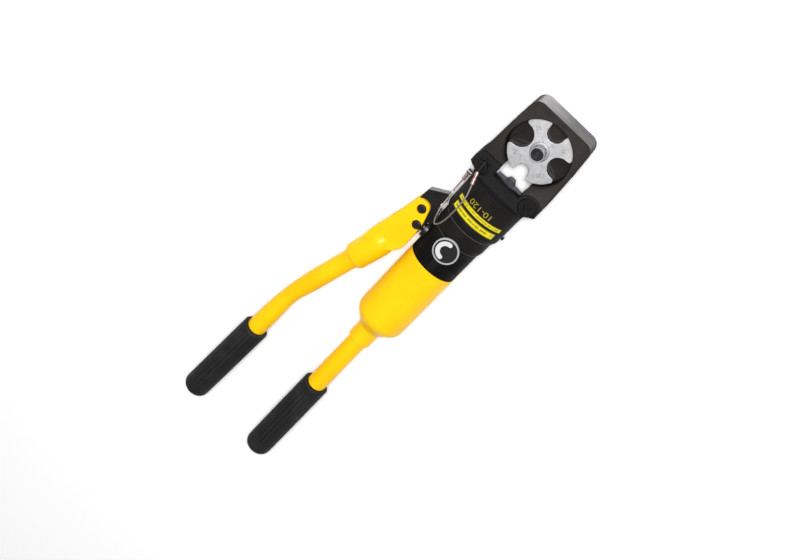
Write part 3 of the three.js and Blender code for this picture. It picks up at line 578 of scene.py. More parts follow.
# die
DIE_RADIUS = 27.3
DIE_HALF = 5.7                   # half its thickness
LOBE_ROUNDING = 2.2
LOBE_EASE = 0.12
NOTCHES = (
    (-90, 16.0, 5.9, 6.9),
    (0, 11.1, 9.4, 10.05),
    (90, 12.5, 7.6, 8.1),
    (180, 10.0, 10.6, 11.0),
)
MARK_RADIUS = 19.5
MARK_SIZE = 5.2

# barrel, punch and return spring
BARREL = 27.3
BARREL_TOP = -48.5
BORE = 19.2
ROD_CHANNEL = 9.9
SCREW_HEIGHT = -77.9
LABEL_RADIUS = 26.75
LABEL_THICKNESS = 0.75
NUMBERS_SHIFT = -1.6
NUMBERS_WIDENED = 1.25
NUMBERS_RADIUS = 27.05
NUMBERS_HEIGHT = -63.2
PUNCH = 3.9                      # half its thickness
SPRING_TOP = -56.8
SPRING_FOOT = -84.4
SPRING_RADIUS = 13.6
SPRING_WIRE = 1.6                # radius of its wire
SPRING_TURNS = 4

# pump and lever head
FULCRUM = (-37.6, -105.8)
LINK = (-31.8, -119.3)
LEVER_PIN = 3.8
LEVER_EAR = 4.4                  # half the pump ear's thickness
CHEEK = 8.9                      # half the lever head's thickness
CHEEK_GAP = 4.9                  # half the gap between its cheeks
GLAND = 7.5
GLAND_SEAT = -18.6
PLUNGER = 4
PLUNGER_EYE = 7.3
KNOB = (1.1, -110.4)
KNOB_FACE = 28.2
BODY_FOOT = -136.4

# handles
HANDLE = 8.4
BARE_HANDLE = 8.65
GRIP = 12.1
MOUTH_SCOOP = 3.0
LEVER_LEAN = math.radians(15.2)
LEVER_FOOT = (-53.5, -189.4)
LEVER_BEND = -65.9
BEND_PINCH = 0.9
GRIP_MOUTH = (-73.1, -299.8)
GRIP_LEAN = math.radians(2.9)


# ---------------------------------------- swinging head


def make_yoke():
    side = rounded([
        (SIDE, -33.9), (SIDE, -24, 60), (32.8, 8, 120), (30.4, HEAD_TOP, 8.4),
        (-30.4, HEAD_TOP, 8.4), (-32.8, 8, 120), (-SIDE, -24, 60), (-SIDE, -27.6),
        (-SLOT, -27.6), (-SLOT, SLOT_TOP, 3), (SLOT, SLOT_TOP, 3), (SLOT, -33.9),
    ], 8)
    yoke = slab("yoke_body", side, -HEAD, HEAD, 0.7)
    cut(yoke,
        rod("room", "z", LUG + CLEARANCE, -20, 20, (*HINGE, 0), 96),
        sink(POCKET, POCKET_FLOOR, HEAD, sides=160),
        drill(5.2, -HEAD, POCKET_FLOOR),
        rod("hole", "z", DETENT_HOLE, -20, 0, (*DETENT, 0), 24))
    right = rounded([(16, -48, 8.5), (33, -48, 8.5), (33, -27), (16, -27)], 12)
    left = rounded([(-34.2, -48.2, 8), (-17.6, -48.2, 8), (-17.6, -24), (-34.2, -24)], 12)
    hole = PIN + CLEARANCE
    right = cut(slab("tongue", right, -TONGUE, TONGUE, 0.5), drill(hole, -TONGUE, TONGUE, HINGE))
    left = cut(slab("tongue", left, -TONGUE, TONGUE, 0.5), drill(hole, -TONGUE, TONGUE, LATCH),
               cuboid("notch", (LATCH[0] - hole, -60, -20), (LATCH[0] + hole, LATCH[1], 20)))
    join(yoke, right, left)
    return settle(yoke, HEAD_BLACK, "yoke", "yoke")


def on_rim(angle):
    return (DIE_RADIUS * math.cos(angle), DIE_RADIUS * math.sin(angle))


def die_outline():
    """The wheel with its four notches; the corners of the lobes are rounded.

    Each notch is (direction, distance of its bottom from the centre, radius, half its mouth).
    """
    points = []
    for index, (angle, depth, radius, half_mouth) in enumerate(NOTCHES):
        turn = math.radians(angle)
        mouth = math.asin(half_mouth / DIE_RADIUS)
        points.append((*on_rim(turn - mouth), LOBE_ROUNDING))
        for step in range(33):
            bend = -math.pi / 2 - math.pi * step / 32
            spot = Vector((depth + radius + radius * math.cos(bend), radius * math.sin(bend)))
            points.append(Matrix.Rotation(turn, 2) @ spot)
        points.append((*on_rim(turn + mouth), LOBE_ROUNDING))
        next_mouth = math.asin(NOTCHES[(index + 1) % len(NOTCHES)][3] / DIE_RADIUS)
        start = turn + mouth + LOBE_EASE
        stop = turn + math.pi / 2 - next_mouth - LOBE_EASE
        points += [on_rim(start + (stop - start) * step / 16) for step in range(17)]
    return rounded(points, 8)


def make_die():
    die = slab("die_wheel", die_outline(), -DIE_HALF, DIE_HALF, 0.4)
    cut(die, drill(5.5, -DIE_HALF, DIE_HALF))
    return settle(die, DIE_STEEL, "die", "rotary_die")


def text_object(name, characters, size, extrude):
    """Raised characters, lying flat and centred on the zero point."""
    curve = bpy.data.curves.new(name, "FONT")
    curve.body = characters
    curve.size = size
    curve.extrude = extrude
    curve.align_x = "CENTER"
    curve.align_y = "CENTER"
    text = bpy.data.objects.new(name, curve)
    bpy.context.scene.collection.objects.link(text)
    return text


def make_die_marks():
    """Plain size numbers on the four lobes."""
    for number, angle in (("16", 45), ("35", 135), ("70", 225), ("120", 315)):
        text = text_object("die_mark_" + number, number, MARK_SIZE * MM, 0.04 * MM)
        turn = math.radians(angle)
        spot = placed(MARK_RADIUS * math.cos(turn), MARK_RADIUS * math.sin(turn), DIE_HALF + 0.03)
        text.matrix_world = Matrix.Translation(spot) @ Matrix.Rotation(turn - math.pi / 2, 4, "Z")
        text.data.materials.append(MARK_STEEL)
        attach(text, "die")


def make_die_hub():
    washer = lathe("die_washer_ring", [
        (5.2, 6.0), (8.2, 6.0, 0.3), (8.2, 7.0, 0.4), (7.2, 7.4, 0.3), (5.2, 7.4)], "z", sides=72)
    settle(washer, HUB_STEEL, "yoke", "die_washer")
    sleeve = lathe("die_spring_sleeve", [
        (5.2, 7.7), (6.3, 7.7, 0.3), (6.3, 16.6, 0.35), (5.3, 16.6, 0.3)], "z", sides=72)
    settle(sleeve, HUB_STEEL, "yoke", "die_sleeve")
    shaft = lathe("die_axle", [
        (0, -14.5), (4.9, -14.5, 0.4), (4.9, -5.9), (5.15, -5.7), (5.15, 5.8), (4.9, 6),
        (4.9, 16, 0.5), (3.2, 16, 0.3), (2.6, 15.4, 0.3), (0, 15.4)], "z", sides=64)
    settle(shaft, DARK_STEEL, "yoke", "die_shaft")


# ---------------------------------------- barrel and its clevis


def clevis_plate(back, front, bridge_top):
    """One of the barrel's two plates, with its lugs round the hinge pin and the latch pin."""
    start = math.pi - math.asin(max(0, bridge_top - HINGE[1]) / LUG)
    lug_top = [(HINGE[0] - LUG, bridge_top)] if bridge_top < HINGE[1] else []
    for step in range(33):
        angle = start + (LUG_EASE_ANGLE - start) * step / 32
        lug_top.append((HINGE[0] + LUG * math.cos(angle), HINGE[1] + LUG * math.sin(angle)))
    inner = -SLOT - 0.2
    outline = rounded([
        (-36.2, -42.2, 1), (-36.2, -35.4, 6), (-34.9, -28.2, 2), (inner, -28.2, 0.8),
        (inner, bridge_top)]
        + lug_top + [
        (SIDE, -42.2, 1), (30.4, -44.6, 2), (27.1, -46.9, 2), (26.6, -50.5), (-26.6, -50.5),
        (-28.6, -46.7, 2), (-33.4, -43.8, 2)])
    plate = slab("clevis", outline, back, front, 0.5)
    cut(plate,
        rod("channel", "y", ROD_CHANNEL, -60, -30, sides=64),
        drill(PIN + CLEARANCE, back, front, HINGE),
        drill(PIN + CLEARANCE, back, front, LATCH))
    if front > 0:
        cut(plate, sink(8.1, 11.6, front, HINGE), sink(LATCH_SEAT, 12.4, front, LATCH))
    else:
        cut(plate, rod("seat", "z", 6.2, -20, -13.2, (*HINGE, 0), 72))
    return plate


def make_barrel():
    barrel = lathe("barrel", [
        (BORE, -103.9), (20.7, -103.9), (20.7, -88), (24.5, -88, 0.4), (25.3, -86.6, 1.5),
        (26.7, -83.2, 3), (27.1, -64, 30), (BARREL, -57, 20), (BARREL, BARREL_TOP, 1.1),
        (ROD_CHANNEL, BARREL_TOP), (ROD_CHANNEL, -50.6), (BORE, -50.6)], sides=128)
    cut(barrel,
        rod("hole", "x", 1.3, 20, 30, (0, SCREW_HEIGHT, 0), 24),
        rod("hole", "x", 1.6, -30, -22, (0, -54.5, 3), 24))
    join(barrel, clevis_plate(CLEVIS_GAP, HEAD, -38.5), clevis_plate(-HEAD, -CLEVIS_GAP, -44.6))
    return settle(barrel, BODY_BLACK, "root", "cylinder_barrel")


def make_pins():
    hinge = lathe("hinge_pin_body", [
        (0, -14.4), (PIN, -14.4, 0.4), (PIN, 11.9), (7.8, 11.9), (7.8, 14.6, 0.7),
        (3.0, 14.6, 0.4), (2.4, 13.9, 0.3), (0, 13.9)], "z", (*HINGE, 0), 80)
    settle(hinge, BODY_BLACK, "root", "hinge_pin")
    latch = lathe("latch_pin_body", [
        (0, -15.6), (2.9, -15.6), (PIN, -14.4), (PIN, 12.9), (5.6, 12.9), (5.6, 18.6, 1.3),
        (3.0, 18.6, 0.5), (2.4, 17.8, 0.3), (0, 17.8)], "z", (*LATCH, 0), 80)
    cut(latch, rod("wire_hole", "y", 1, -60, -30, (LATCH[0], 0, 16.4), 24))
    settle(latch, BODY_BLACK, "latch_pin", "latch_pin")


def make_side_screw():
    screw = lathe("side_screw_body", [
        (0, 21), (1, 21), (1, 27.2), (1.8, 27.2, 0.2), (1.8, 28.5, 0.5), (0.9, 29, 0.2),
        (0.8, 28.4), (0, 28.4)], "x", (0, SCREW_HEIGHT, 0), 36)
    settle(screw, BODY_BLACK, "root", "side_screw")


def label(name, top, foot, half_angle, rows, node):
    """A curved sign plate: a dark frame line and rows of plain dashes on yellow."""
    across, down = 120, 24       # cells of the plate's front
    dashes = [[random.random() < 0.78 for _ in range(across)] for _ in range(rows)]
    source = bmesh.new()
    grid = []
    for layer in (LABEL_RADIUS, LABEL_RADIUS + LABEL_THICKNESS):
        sheet = []
        for j in range(down + 1):
            y = top + (foot - top) * j / down
            row = []
            for k in range(across + 1):
                angle = half_angle * (2 * k / across - 1)
                row.append(source.verts.new((layer * math.sin(angle), y, layer * math.cos(angle))))
            sheet.append(row)
        grid.append(sheet)
    for j in range(down):
        for k in range(across):
            front = source.faces.new((grid[1][j][k], grid[1][j + 1][k],
                                      grid[1][j + 1][k + 1], grid[1][j][k + 1]))
            front.material_index = label_ink(j, k, down, across, rows, dashes)
            source.faces.new((grid[0][j][k], grid[0][j][k + 1],
                              grid[0][j + 1][k + 1], grid[0][j + 1][k]))
    edge = [(0, k) for k in range(across)] + [(j, across) for j in range(down)]
    edge += [(down, k) for k in range(across, 0, -1)] + [(j, 0) for j in range(down, 0, -1)]
    for (a, b), (c, d) in zip(edge, edge[1:] + edge[:1]):
        side = source.faces.new((grid[0][a][b], grid[0][c][d], grid[1][c][d], grid[1][a][b]))
        side.material_index = 1
    plate = add_object(name, source)
    plate.data.materials.append(LABEL_YELLOW)
    plate.data.materials.append(LABEL_INK)
    settle(plate, None, "root", node)
    return plate


def label_ink(j, k, down, across, rows, dashes):
    """1 where the label is dark: its frame line and its rows of dashes."""
    if j < 3 or j > down - 4 or k < 1 or k > across - 2:
        return 1
    for row in range(rows):
        centre = (row + 1) * down / (rows + 1)
        if abs(j + 0.5 - centre) < 3.2 and 6 < k < across - 7 and dashes[row][k // 2] and k % 3:
            return 1
    return 0


def text_mesh(name, characters, size, extrude):
    """Raised characters as a mesh."""
    text = text_object(name, characters, size, extrude)
    curve = text.data
    mesh = bpy.data.meshes.new_from_object(text.evaluated_get(
        bpy.context.evaluated_depsgraph_get()))
    bpy.data.objects.remove(text)
    bpy.data.curves.remove(curve)
    piece = bpy.data.objects.new(name, mesh)
    mesh.name = name
    bpy.context.scene.collection.objects.link(piece)
    return piece


def make_barrel_numbers():
    """The size range in raised numbers round the barrel, read with the tool's head down."""
    text = text_mesh("barrel_numbers", "10-120", 7.0, 0.25)
    for vertex in text.data.vertices:
        angle = (NUMBERS_SHIFT - NUMBERS_WIDENED * vertex.co.x) / 27
        radius = NUMBERS_RADIUS + vertex.co.z
        vertex.co = (radius * math.sin(angle), NUMBERS_HEIGHT - vertex.co.y,
                     radius * math.cos(angle))
    settle(text, NUMBER_YELLOW, "root")


def make_neck():
    collar = lathe("neck_collar_ring", [
        (21, -103.9), (23.1, -103.9, 0.4), (24.3, -99.6, 2), (24.3, -88.4, 0.7),
        (21, -88.4)], sides=128)
    settle(collar, BODY_BLACK, "root", "neck_collar")


def make_punch():
    outline = rounded([
        (-12.9, -47.9), (12.9, -47.9), (12.9, -38.1, 0.5), (4.3, -38.1, 0.5), (2.4, -34.2, 1.1),
        (-2.4, -34.2, 1.1), (-4.3, -38.1, 0.5), (-12.9, -38.1, 0.5)], 6)
    punch = slab("punch_block", outline, -PUNCH, PUNCH, 0.4)
    settle(punch, PUNCH_STEEL, "ram", "punch")


def make_return_spring():
    """The ram's return spring, a wire helix below its fixed top; the mesh keeps one length as the
    ram rises.
    """
    length = SPRING_TOP - SPRING_FOOT
    steps = 24 * SPRING_TURNS
    path = []
    for step in range(steps + 1):
        angle = 2 * math.pi * SPRING_TURNS * step / steps
        height = SPRING_FOOT + SPRING_WIRE + (length - 2 * SPRING_WIRE) * step / steps
        path.append(Vector((SPRING_RADIUS * math.cos(angle), height,
                            SPRING_RADIUS * math.sin(angle))))
    spring = sweep("return_spring", path, [SPRING_WIRE] * len(path), 16)
    settle(spring, BRIGHT_STEEL, "root", "ram_return_spring")
    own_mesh(spring)


# ---------------------------------------- pump body


def make_pump_body():
    body = lathe("pump_housing", [
        (0, BODY_FOOT - 5), (13, BODY_FOOT - 5, 0.6), (13, BODY_FOOT), (22.9, BODY_FOOT, 0.3),
        (22.9, -104.3, 0.3), (18.9, -104.3), (18.9, -95), (0, -95)], sides=128)
    ear = rounded([
        (-18, -112), (-18, -104.3), (-24.8, -103.9), (-24.8, -97.6, 0.5), (-29, -96.8, 1),
        (-29, -90.6, 0.6), (-26.8, -89.6, 0.4), (-26.8, -87.4, 0.4), (-29, -86.4, 0.6),
        (-29, -80.3, 1.2), (-45.1, -90.1, 1.2), (-45.5, -97.4, 6), (-44.9, -112.6, 6.8),
        (-30, -112.6, 1)], 8)
    ear = slab("ear", ear, -LEVER_EAR, LEVER_EAR, 0.35)
    pump_axis = (0, LINK[1], 0)
    cut(ear,
        drill(LEVER_PIN + CLEARANCE, -LEVER_EAR, LEVER_EAR, FULCRUM),
        rod("seat", "x", GLAND + CLEARANCE, -52, GLAND_SEAT, pump_axis, 64))
    cut(body,
        rod("hole", "x", 4.4, -30, 2.6, pump_axis),
        rod("seat", "x", GLAND + CLEARANCE, -40, GLAND_SEAT, pump_axis, 64),
        rod("seat", "z", 3.7, 6, 30, (*KNOB, 0)),
        rod("seat", "z", 3.4, -30, -9, (6, -127, 0)))
    join(body, ear)
    return settle(body, BODY_BLACK, "root", "pump_body")


def make_gland():
    gland = lathe("gland_nut", [
        (4.35, -25.2), (GLAND, -25.2, 0.7), (GLAND, -18.9), (4.35, -18.9)], "x",
        (0, LINK[1], 0), 64)
    settle(gland, DARK_STEEL, "root", "plunger_gland")


def make_knob():
    centre = (*KNOB, 0)
    knob = lathe("release_knob_body", [
        (0, 23.4), (6, 23.4), (6, 25.4), (11.3, 25.4, 0.5), (11.5, 27.8, 0.2),
        (11.4, KNOB_FACE - 0.9), (10.1, KNOB_FACE - 0.9), (10.1, KNOB_FACE - 0.3, 0.2),
        (0, KNOB_FACE - 0.3)],
        "z", centre, 128)
    settle(knob, KNOB_BLACK, "knob", "release_knob")
    rim = lathe("release_knob_rim", [
        (10.1, KNOB_FACE - 0.9), (11.5, KNOB_FACE - 2.6, 0.2), (11.5, KNOB_FACE + 0.1, 0.5),
        (10.2, KNOB_FACE + 0.1, 0.4)], "z", centre, 128)
    settle(rim, RIM_GREY, "knob", "knob_ring")
    arc = slab("release_knob_arc", arc_outline(6.8, 2.0), KNOB_FACE - 0.6, KNOB_FACE + 0.1, 0.2)
    settle(arc, MARK_WHITE, "knob", "knob_arc")


def arc_outline(radius, half):
    """A thick arc with round ends round the left half of the knob."""
    start, stop, steps = math.radians(94), math.radians(266), 40
    points = []

    def spot(distance, angle, centre=KNOB):
        points.append((centre[0] + distance * math.cos(angle),
                       centre[1] + distance * math.sin(angle)))

    for step in range(steps + 1):
        spot(radius + half, start + (stop - start) * step / steps)
    end = (KNOB[0] + radius * math.cos(stop), KNOB[1] + radius * math.sin(stop))
    for step in range(1, 10):
        spot(half, stop + math.pi * step / 10, end)
    for step in range(steps + 1):
        spot(radius - half, stop + (start - stop) * step / steps)
    end = (KNOB[0] + radius * math.cos(start), KNOB[1] + radius * math.sin(start))
    for step in range(1, 10):
        spot(half, start - math.pi + math.pi * step / 10, end)
    return points


# ---------------------------------------- reservoir and fixed handle


def make_reservoir():
    shell = lathe("reservoir", [
        (21, -136.7), (23.0, -136.7, 0.4), (23.0, -198, 60), (22.8, -209.5, 11),
        (11.0, -221.9, 3), (10.7, -225.9, 0.2), (8.8, -225.9), (8.8, -219), (16.6, -212.2),
        (19.6, -207), (21, -202)],
        sides=128)
    settle(shell, YELLOW, "root", "reservoir_shell")
    collar = lathe("handle_collar_ring", [
        (8.7, -226.0), (10.6, -226.0, 0.2), (10.7, -238.6, 1.4), (8.7, -238.6)], sides=96)
    settle(collar, YELLOW, "root", "handle_collar")
    tube = lathe("handle_pipe", [
        (6.4, -214), (BARE_HANDLE, -214), (BARE_HANDLE, -390.2), (6.4, -390.2)], sides=80)
    settle(tube, PIPE_YELLOW, "root", "handle_tube")


def ribs(angle, radius, along, top, foot):
    """Shallow grooves along a grip, which fade out at its ends."""
    if radius < 11.5:
        return radius
    fade = min(1, max(0, (top - along) / 4), max(0, (along - foot) / 5))
    wave = max(0, math.cos(18 * angle)) ** 6
    return radius - 0.5 * wave * fade


def grip_mesh(name, mouth, end):
    profile = [(8.7, mouth), (GRIP, mouth, 1.2)]
    rows = 24
    for row in range(rows + 1):
        profile.append((GRIP, mouth - 4 - (mouth - end - 16) * row / rows))
    profile += [(GRIP, end, 9.0), (0, end), (0, end + 3.4), (8.7, end + 3.4)]
    grip = lathe(name, profile, sides=216,
                 shape=lambda a, r, y: ribs(a, r, y, mouth - 4, end + 12))
    for vertex in grip.data.vertices:
        nearness = max(0, vertex.co.y - mouth + 12) / 12
        vertex.co.y -= MOUTH_SCOOP * nearness * max(0, vertex.co.z / GRIP) ** 1.5
    return grip


def make_handle_grip():
    grip = grip_mesh("handle_grip_sleeve", -298.8, -393.6)
    settle(grip, GRIP_RUBBER, "root", "handle_grip")


# ---------------------------------------- pump lever


def on_leg(distance):
    """A point on the lever tube's straight leg, that far above its foot."""
    return Vector((LEVER_FOOT[0] + distance * math.sin(LEVER_LEAN),
                   LEVER_FOOT[1] + distance * math.cos(LEVER_LEAN), 0))


def on_grip(distance):
    return Vector((GRIP_MOUTH[0] - distance * math.sin(GRIP_LEAN),
                   GRIP_MOUTH[1] - distance * math.cos(GRIP_LEAN), 0))


def along_leg(piece):
    """Moves a piece modelled on the y axis, with zero at the leg's foot, onto the leg."""
    piece.data.transform(Matrix.Translation(on_leg(0)) @ Matrix.Rotation(-LEVER_LEAN, 4, "Z"))
    return piece


def beside_leg(distance, offset):
    """A point in the front view beside the leg: that far up from its foot, offset to the right."""
    spot = on_leg(distance)
    return (spot.x + offset * math.cos(LEVER_LEAN), spot.y - offset * math.sin(LEVER_LEAN))


def make_lever_head():
    cheek = rounded([
        (-45.6, -98.1, 7.5), (-33.2, -98.1, 6), (-28.4, -114.4, 20), (-27.3, -126, 30),
        (-27.3, -142.6, 4), (-28.8, -146.4, 4), beside_leg(42, 10.9), (*beside_leg(32, 6), 6),
        (*beside_leg(32, -6), 6), (*beside_leg(20, -12.6), 3), beside_leg(38.6, -14.1),
        (-50.3, -122, 60)], 8)
    head = slab("lever_fork", cheek, -CHEEK, CHEEK, 0.9)
    slot = rounded([(-70, -134), (-10, -130), (-10, -80), (-70, -80)])
    cut(head,
        slab("slot", slot, -CHEEK_GAP, CHEEK_GAP),
        drill(LEVER_PIN + 0.35, -CHEEK, CHEEK, FULCRUM, 0.5),
        drill(LEVER_PIN + 0.35, -CHEEK, CHEEK, LINK, 0.5))
    socket = lathe("socket", [
        (8.55, 5.5), (11, 5.5, 0.6), (12.1, 7.5, 1.5), (12.5, 36, 12), (8.4, 45, 6), (0, 45),
        (0, 30), (8.55, 30)], sides=96)
    join(head, along_leg(socket))
    return settle(head, YELLOW, "lever", "lever_head")


def bezier(start, corner, end, steps):
    points = []
    for step in range(steps + 1):
        t = step / steps
        points.append(start * (1 - t) ** 2 + corner * 2 * t * (1 - t) + end * t ** 2)
    return points


def across_path(path, side):
    """Each point of a path, with two directions across it that don't twist."""
    for index, point in enumerate(path):
        ahead = (path[min(index + 1, len(path) - 1)] - path[max(index - 1, 0)]).normalized()
        side = (side - ahead * side.dot(ahead)).normalized()
        yield point, side, ahead.cross(side)


def sweep(name, path, radii, sides=64):
    """A round bar along a path, with a radius for each of its points."""
    source = bmesh.new()
    turns = [2 * math.pi * k / sides for k in range(sides)]
    rings = []
    for radius, (point, side, other) in zip(radii, across_path(path, Vector((0.1, 0, 1)))):
        rings.append([source.verts.new(
            point + (side * math.cos(turn) + other * math.sin(turn)) * radius) for turn in turns])
    close_rings(source, rings)
    return add_object(name, source)


def make_lever_tube():
    steps = 24
    bend = bezier(on_leg(LEVER_BEND + 12), on_leg(LEVER_BEND), on_grip(-34), steps)
    path = [on_leg(29), on_leg(5), on_leg(1), on_leg(LEVER_BEND + 25)] + bend
    path += [on_grip(-20), on_grip(90.5)]
    pinched = [HANDLE - BEND_PINCH * (0.4 + 0.6 * math.sin(math.pi * k / steps))
               for k in range(steps + 1)]
    radii = [HANDLE, HANDLE, BARE_HANDLE, BARE_HANDLE] + pinched + [BARE_HANDLE, BARE_HANDLE]
    tube = sweep("lever_pipe", path, radii)
    settle(tube, PIPE_YELLOW, "lever", "lever_tube")
    grip = grip_mesh("lever_grip_sleeve", 0, -94.5)
    grip.data.transform(Matrix.Translation(Vector((*GRIP_MOUTH, 0)))
                        @ Matrix.Rotation(-GRIP_LEAN, 4, "Z"))
    settle(grip, GRIP_RUBBER, "lever", "lever_grip")


def make_lever_pins():
    for name, centre, body in (("fulcrum_pin", FULCRUM, "root"), ("link_pin", LINK, "lever")):
        pin = lathe(name + "_body", [
            (0, -10.4), (LEVER_PIN, -10.4, 0.5), (LEVER_PIN, 9.1, 0.9), (1.6, 9.1, 0.3),
            (1.2, 8.5), (0, 8.5)], "z", (*centre, 0), 48)
        settle(pin, DARK_STEEL, body, name)


def make_plunger():
    eye = lathe("plunger_rod", [
        (0, LINK[0] - 5.8), (PLUNGER_EYE, LINK[0] - 5.8, 1.2), (PLUNGER_EYE, -26.8, 0.8),
        (PLUNGER, -26.8, 0.3), (PLUNGER, -2), (0, -2)], "x", (0, LINK[1], 0), 72)
    keep_inside(eye, cuboid("flats", (-60, -140, -4.5), (10, -100, 4.5)))
    wide, high = LEVER_PIN + 0.35, LEVER_PIN + 2.05
    slot = rounded([
        (LINK[0] - wide, LINK[1] - high, 4.1), (LINK[0] + wide, LINK[1] - high, 4.1),
        (LINK[0] + wide, LINK[1] + high, 4.1), (LINK[0] - wide, LINK[1] + high, 4.1)], 12)
    cut(eye, slab("slot", slot, -20, 20))
    settle(eye, DARK_STEEL, "plunger", "pump_plunger")


# ---------------------------------------- lanyard

ROUTE = [
    (-20.9, -53.6, 25.6), (-19.4, -58, 26), (-17.6, -64, 26.4), (-16.9, -71, 26.3),
    (-16.7, -78, 25.8), (-16.8, -84.5, 25), (-17, -90, 24), (-18.2, -97, 22.6),
    (-19.9, -101.2, 20.8), (-21.8, -102.8, 18.6), (-23.8, -101, 15.8), (-25.4, -97.6, 12.6),
    (-26.8, -93.5, 9.6), (-27.8, -89, 7.2), (-28.1, -84.5, 6), (-28.5, -80, 5.4),
    (-29.2, -75, 4.4), (-29.6, -69, 3.6), (-29.8, -63.6, 3.1),
]
EYE_ROUTE = [
    (-24.8, -43.2, 21.6), (-25.6, -46.6, 19.6), (-25.9, -46.4, 17), (-25.9, -43.5, 16.4),
    (-25.9, -36.5, 16.4), (-25.9, -33.2, 17.2), (-25.8, -33.4, 19.4), (-25.4, -37.5, 20.6),
    (-24.9, -42, 21.5),
]
WIRE_RADIUS = 0.7
WIRE_SIDES = 24
WIRE_STRANDS = 6
WIRE_PITCH = 7.0                 # along the wire for one turn of its strands
EYE_RADIUS = 0.5


def smooth_route(points, steps=8):
    """Points along a smooth curve through the given ones."""
    line = [Vector(p) for p in points]
    line = [line[0] * 2 - line[1]] + line + [line[-1] * 2 - line[-2]]
    curve = []
    for a, b, c, d in zip(line, line[1:], line[2:], line[3:]):
        for step in range(steps):
            t = step / steps
            curve.append((b * 2 + (c - a) * t + (a * 2 - b * 5 + c * 4 - d) * t ** 2
                          + (b * 3 - a - c * 3 + d) * t ** 3) / 2)
    curve.append(line[-2])
    return curve


def make_wire():
    """A wire rope: six strands twisted round the route, made as one lobed tube."""
    path = smooth_route(ROUTE)
    source = bmesh.new()
    rings = []
    travelled = 0.0
    last = path[0]
    for point, side, other in across_path(path, Vector((1, 0, 0))):
        travelled += (point - last).length
        last = point
        twist = 2 * math.pi * travelled / WIRE_PITCH
        ring = []
        for k in range(WIRE_SIDES):
            angle = 2 * math.pi * k / WIRE_SIDES
            lobe = 0.86 + 0.14 * abs(math.cos(WIRE_STRANDS * angle / 2))
            turn = angle + twist
            ring.append(source.verts.new(point + (side * math.cos(turn) + other * math.sin(turn))
                                         * WIRE_RADIUS * lobe))
        rings.append(ring)
    close_rings(source, rings)
    wire = add_object("lanyard", source)
    wire.data.shade_smooth()
    wire.data.transform(Matrix.Translation(DIE_CENTRE) @ Matrix.Scale(MM, 4))
    wire.data.materials.append(WIRE)
    return wire, path


def make_lanyard():
    wire, path = make_wire()
    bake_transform(wire)
    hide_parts("lanyard_wire")
    ferrules = [
        make_ferrule("pin_ferrule", EYE_ROUTE[0], (-21.1, -53.2, 25.6), "latch_pin"),
        make_ferrule("anchor_ferrule", (-29.8, -63.2, 3.1), (-30, -57.6, 3), "root")]


def make_wire_eye():
    """The end of the wire, looped through the latch pin's knob and back into the ferrule."""
    path = smooth_route(EYE_ROUTE, 6)
    eye = sweep("wire_eye", path, [EYE_RADIUS] * len(path), 16)
    settle(eye, DARK_STEEL, "latch_pin")


def make_ferrule(node, start, end, body):
    """A copper sleeve pressed on the wire between two points, with a waist near its middle."""
    low, high = Vector(start), Vector(end)
    long = (high - low).length
    ferrule = lathe(node + "_sleeve", [
        (0.75, 0), (1.5, 0, 0.3), (1.5, long * 0.3, 0.3), (1.3, long * 0.36, 0.3),
        (1.3, long * 0.44, 0.3), (1.5, long * 0.5, 0.3), (1.5, long, 0.3), (0.75, long)], sides=32)
    turn = (high - low).to_track_quat("Y", "Z").to_matrix().to_4x4()
    ferrule.data.transform(Matrix.Translation(low) @ turn)
    return settle(ferrule, COPPER, body, node)


make_lanyard()
make_wire_eye()
make_yoke()
make_die()
make_die_marks()
make_die_hub()
make_barrel()
make_pins()
make_side_screw()
label("upper_sign", -67.1, -71.4, 0.95, 1, "upper_label")
label("lower_sign", -73.1, -79.8, 0.88, 1, "lower_label")
make_barrel_numbers()
make_neck()
make_punch()
make_return_spring()
make_pump_body()
make_gland()
make_knob()
make_reservoir()
make_handle_grip()
make_lever_head()
make_lever_tube()
make_lever_pins()
make_plunger()

# ---------------------------------------- floor and light

SKY_HORIZON = 0.26
SKY_ZENITH = 0.45


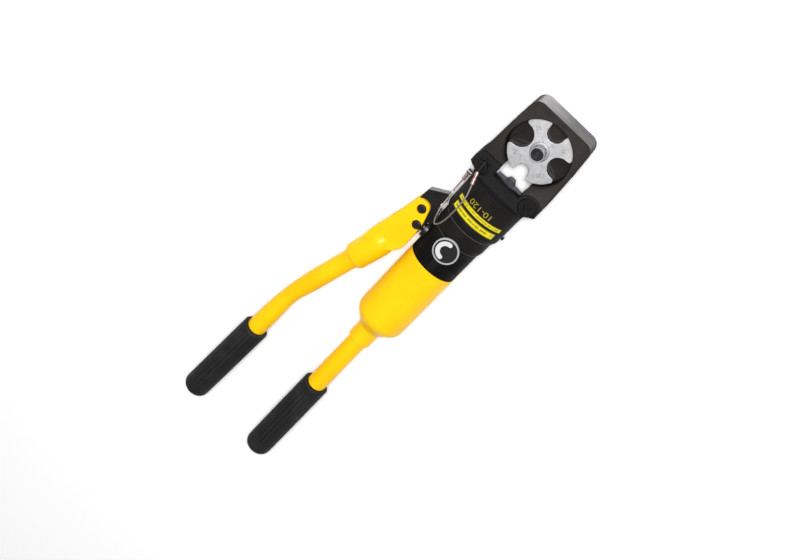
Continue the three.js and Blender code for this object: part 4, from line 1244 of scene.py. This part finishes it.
def make_floor():
    source = bmesh.new()
    bmesh.ops.create_grid(source, x_segments=1, y_segments=1, size=6)
    floor = add_object("floor", source)
    skin = Surface("floor_paper", 0.85)
    skin.colour(skin.mix(skin.noise(300, 2), (0.97, 0.97, 0.97), (0.95, 0.95, 0.95)))
    floor.data.materials.append(skin.material)
    floor.location.z = CAD_LOW.z - 0.0002


def area_light(name, place, aim, size, power):
    data = bpy.data.lights.new(name, "AREA")
    data.shape = "SQUARE"
    data.size = size
    data.energy = power
    light = bpy.data.objects.new(name, data)
    bpy.context.scene.collection.objects.link(light)
    light.location = place
    light.rotation_mode = "QUATERNION"
    light.rotation_quaternion = (Vector(aim) - Vector(place)).to_track_quat("-Z", "Y")


def make_sky():
    """White all round, brighter overhead than at the horizon."""
    world = bpy.data.worlds.new("studio")
    world.use_nodes = True
    tree = world.node_tree
    place = tree.nodes.new("ShaderNodeTexCoord")
    parts = tree.nodes.new("ShaderNodeSeparateXYZ")
    change = tree.nodes.new("ShaderNodeMapRange")
    change.inputs["To Min"].default_value = SKY_HORIZON
    change.inputs["To Max"].default_value = SKY_ZENITH
    tree.links.new(place.outputs["Generated"], parts.inputs["Vector"])
    tree.links.new(parts.outputs["Z"], change.inputs["Value"])
    tree.links.new(change.outputs["Result"], tree.nodes["Background"].inputs["Strength"])
    tree.nodes["Background"].inputs["Color"].default_value = (1, 1, 1, 1)
    bpy.context.scene.world = world


def make_lights():
    centre = (0, 0, 0.02)
    aim = placed(*CAMERA_AIM)
    towards_camera = Vector((0, math.sin(CAMERA_TILT), math.cos(CAMERA_TILT)))
    area_light("key", aim + towards_camera * 1.6, aim, 0.3, 26)
    area_light("head_light", (-0.3, 1.4, 0.4), (0, 0.15, 0.02), 0.8, 2)
    area_light("left_light", (-1.3, 0.0, 0.7), centre, 0.8, 1.2)
    area_light("right_light", (1.3, 0.0, 0.9), centre, 0.8, 0.3)
    bpy.context.scene.view_settings.view_transform = "Standard"


make_floor()
make_sky()
make_lights()
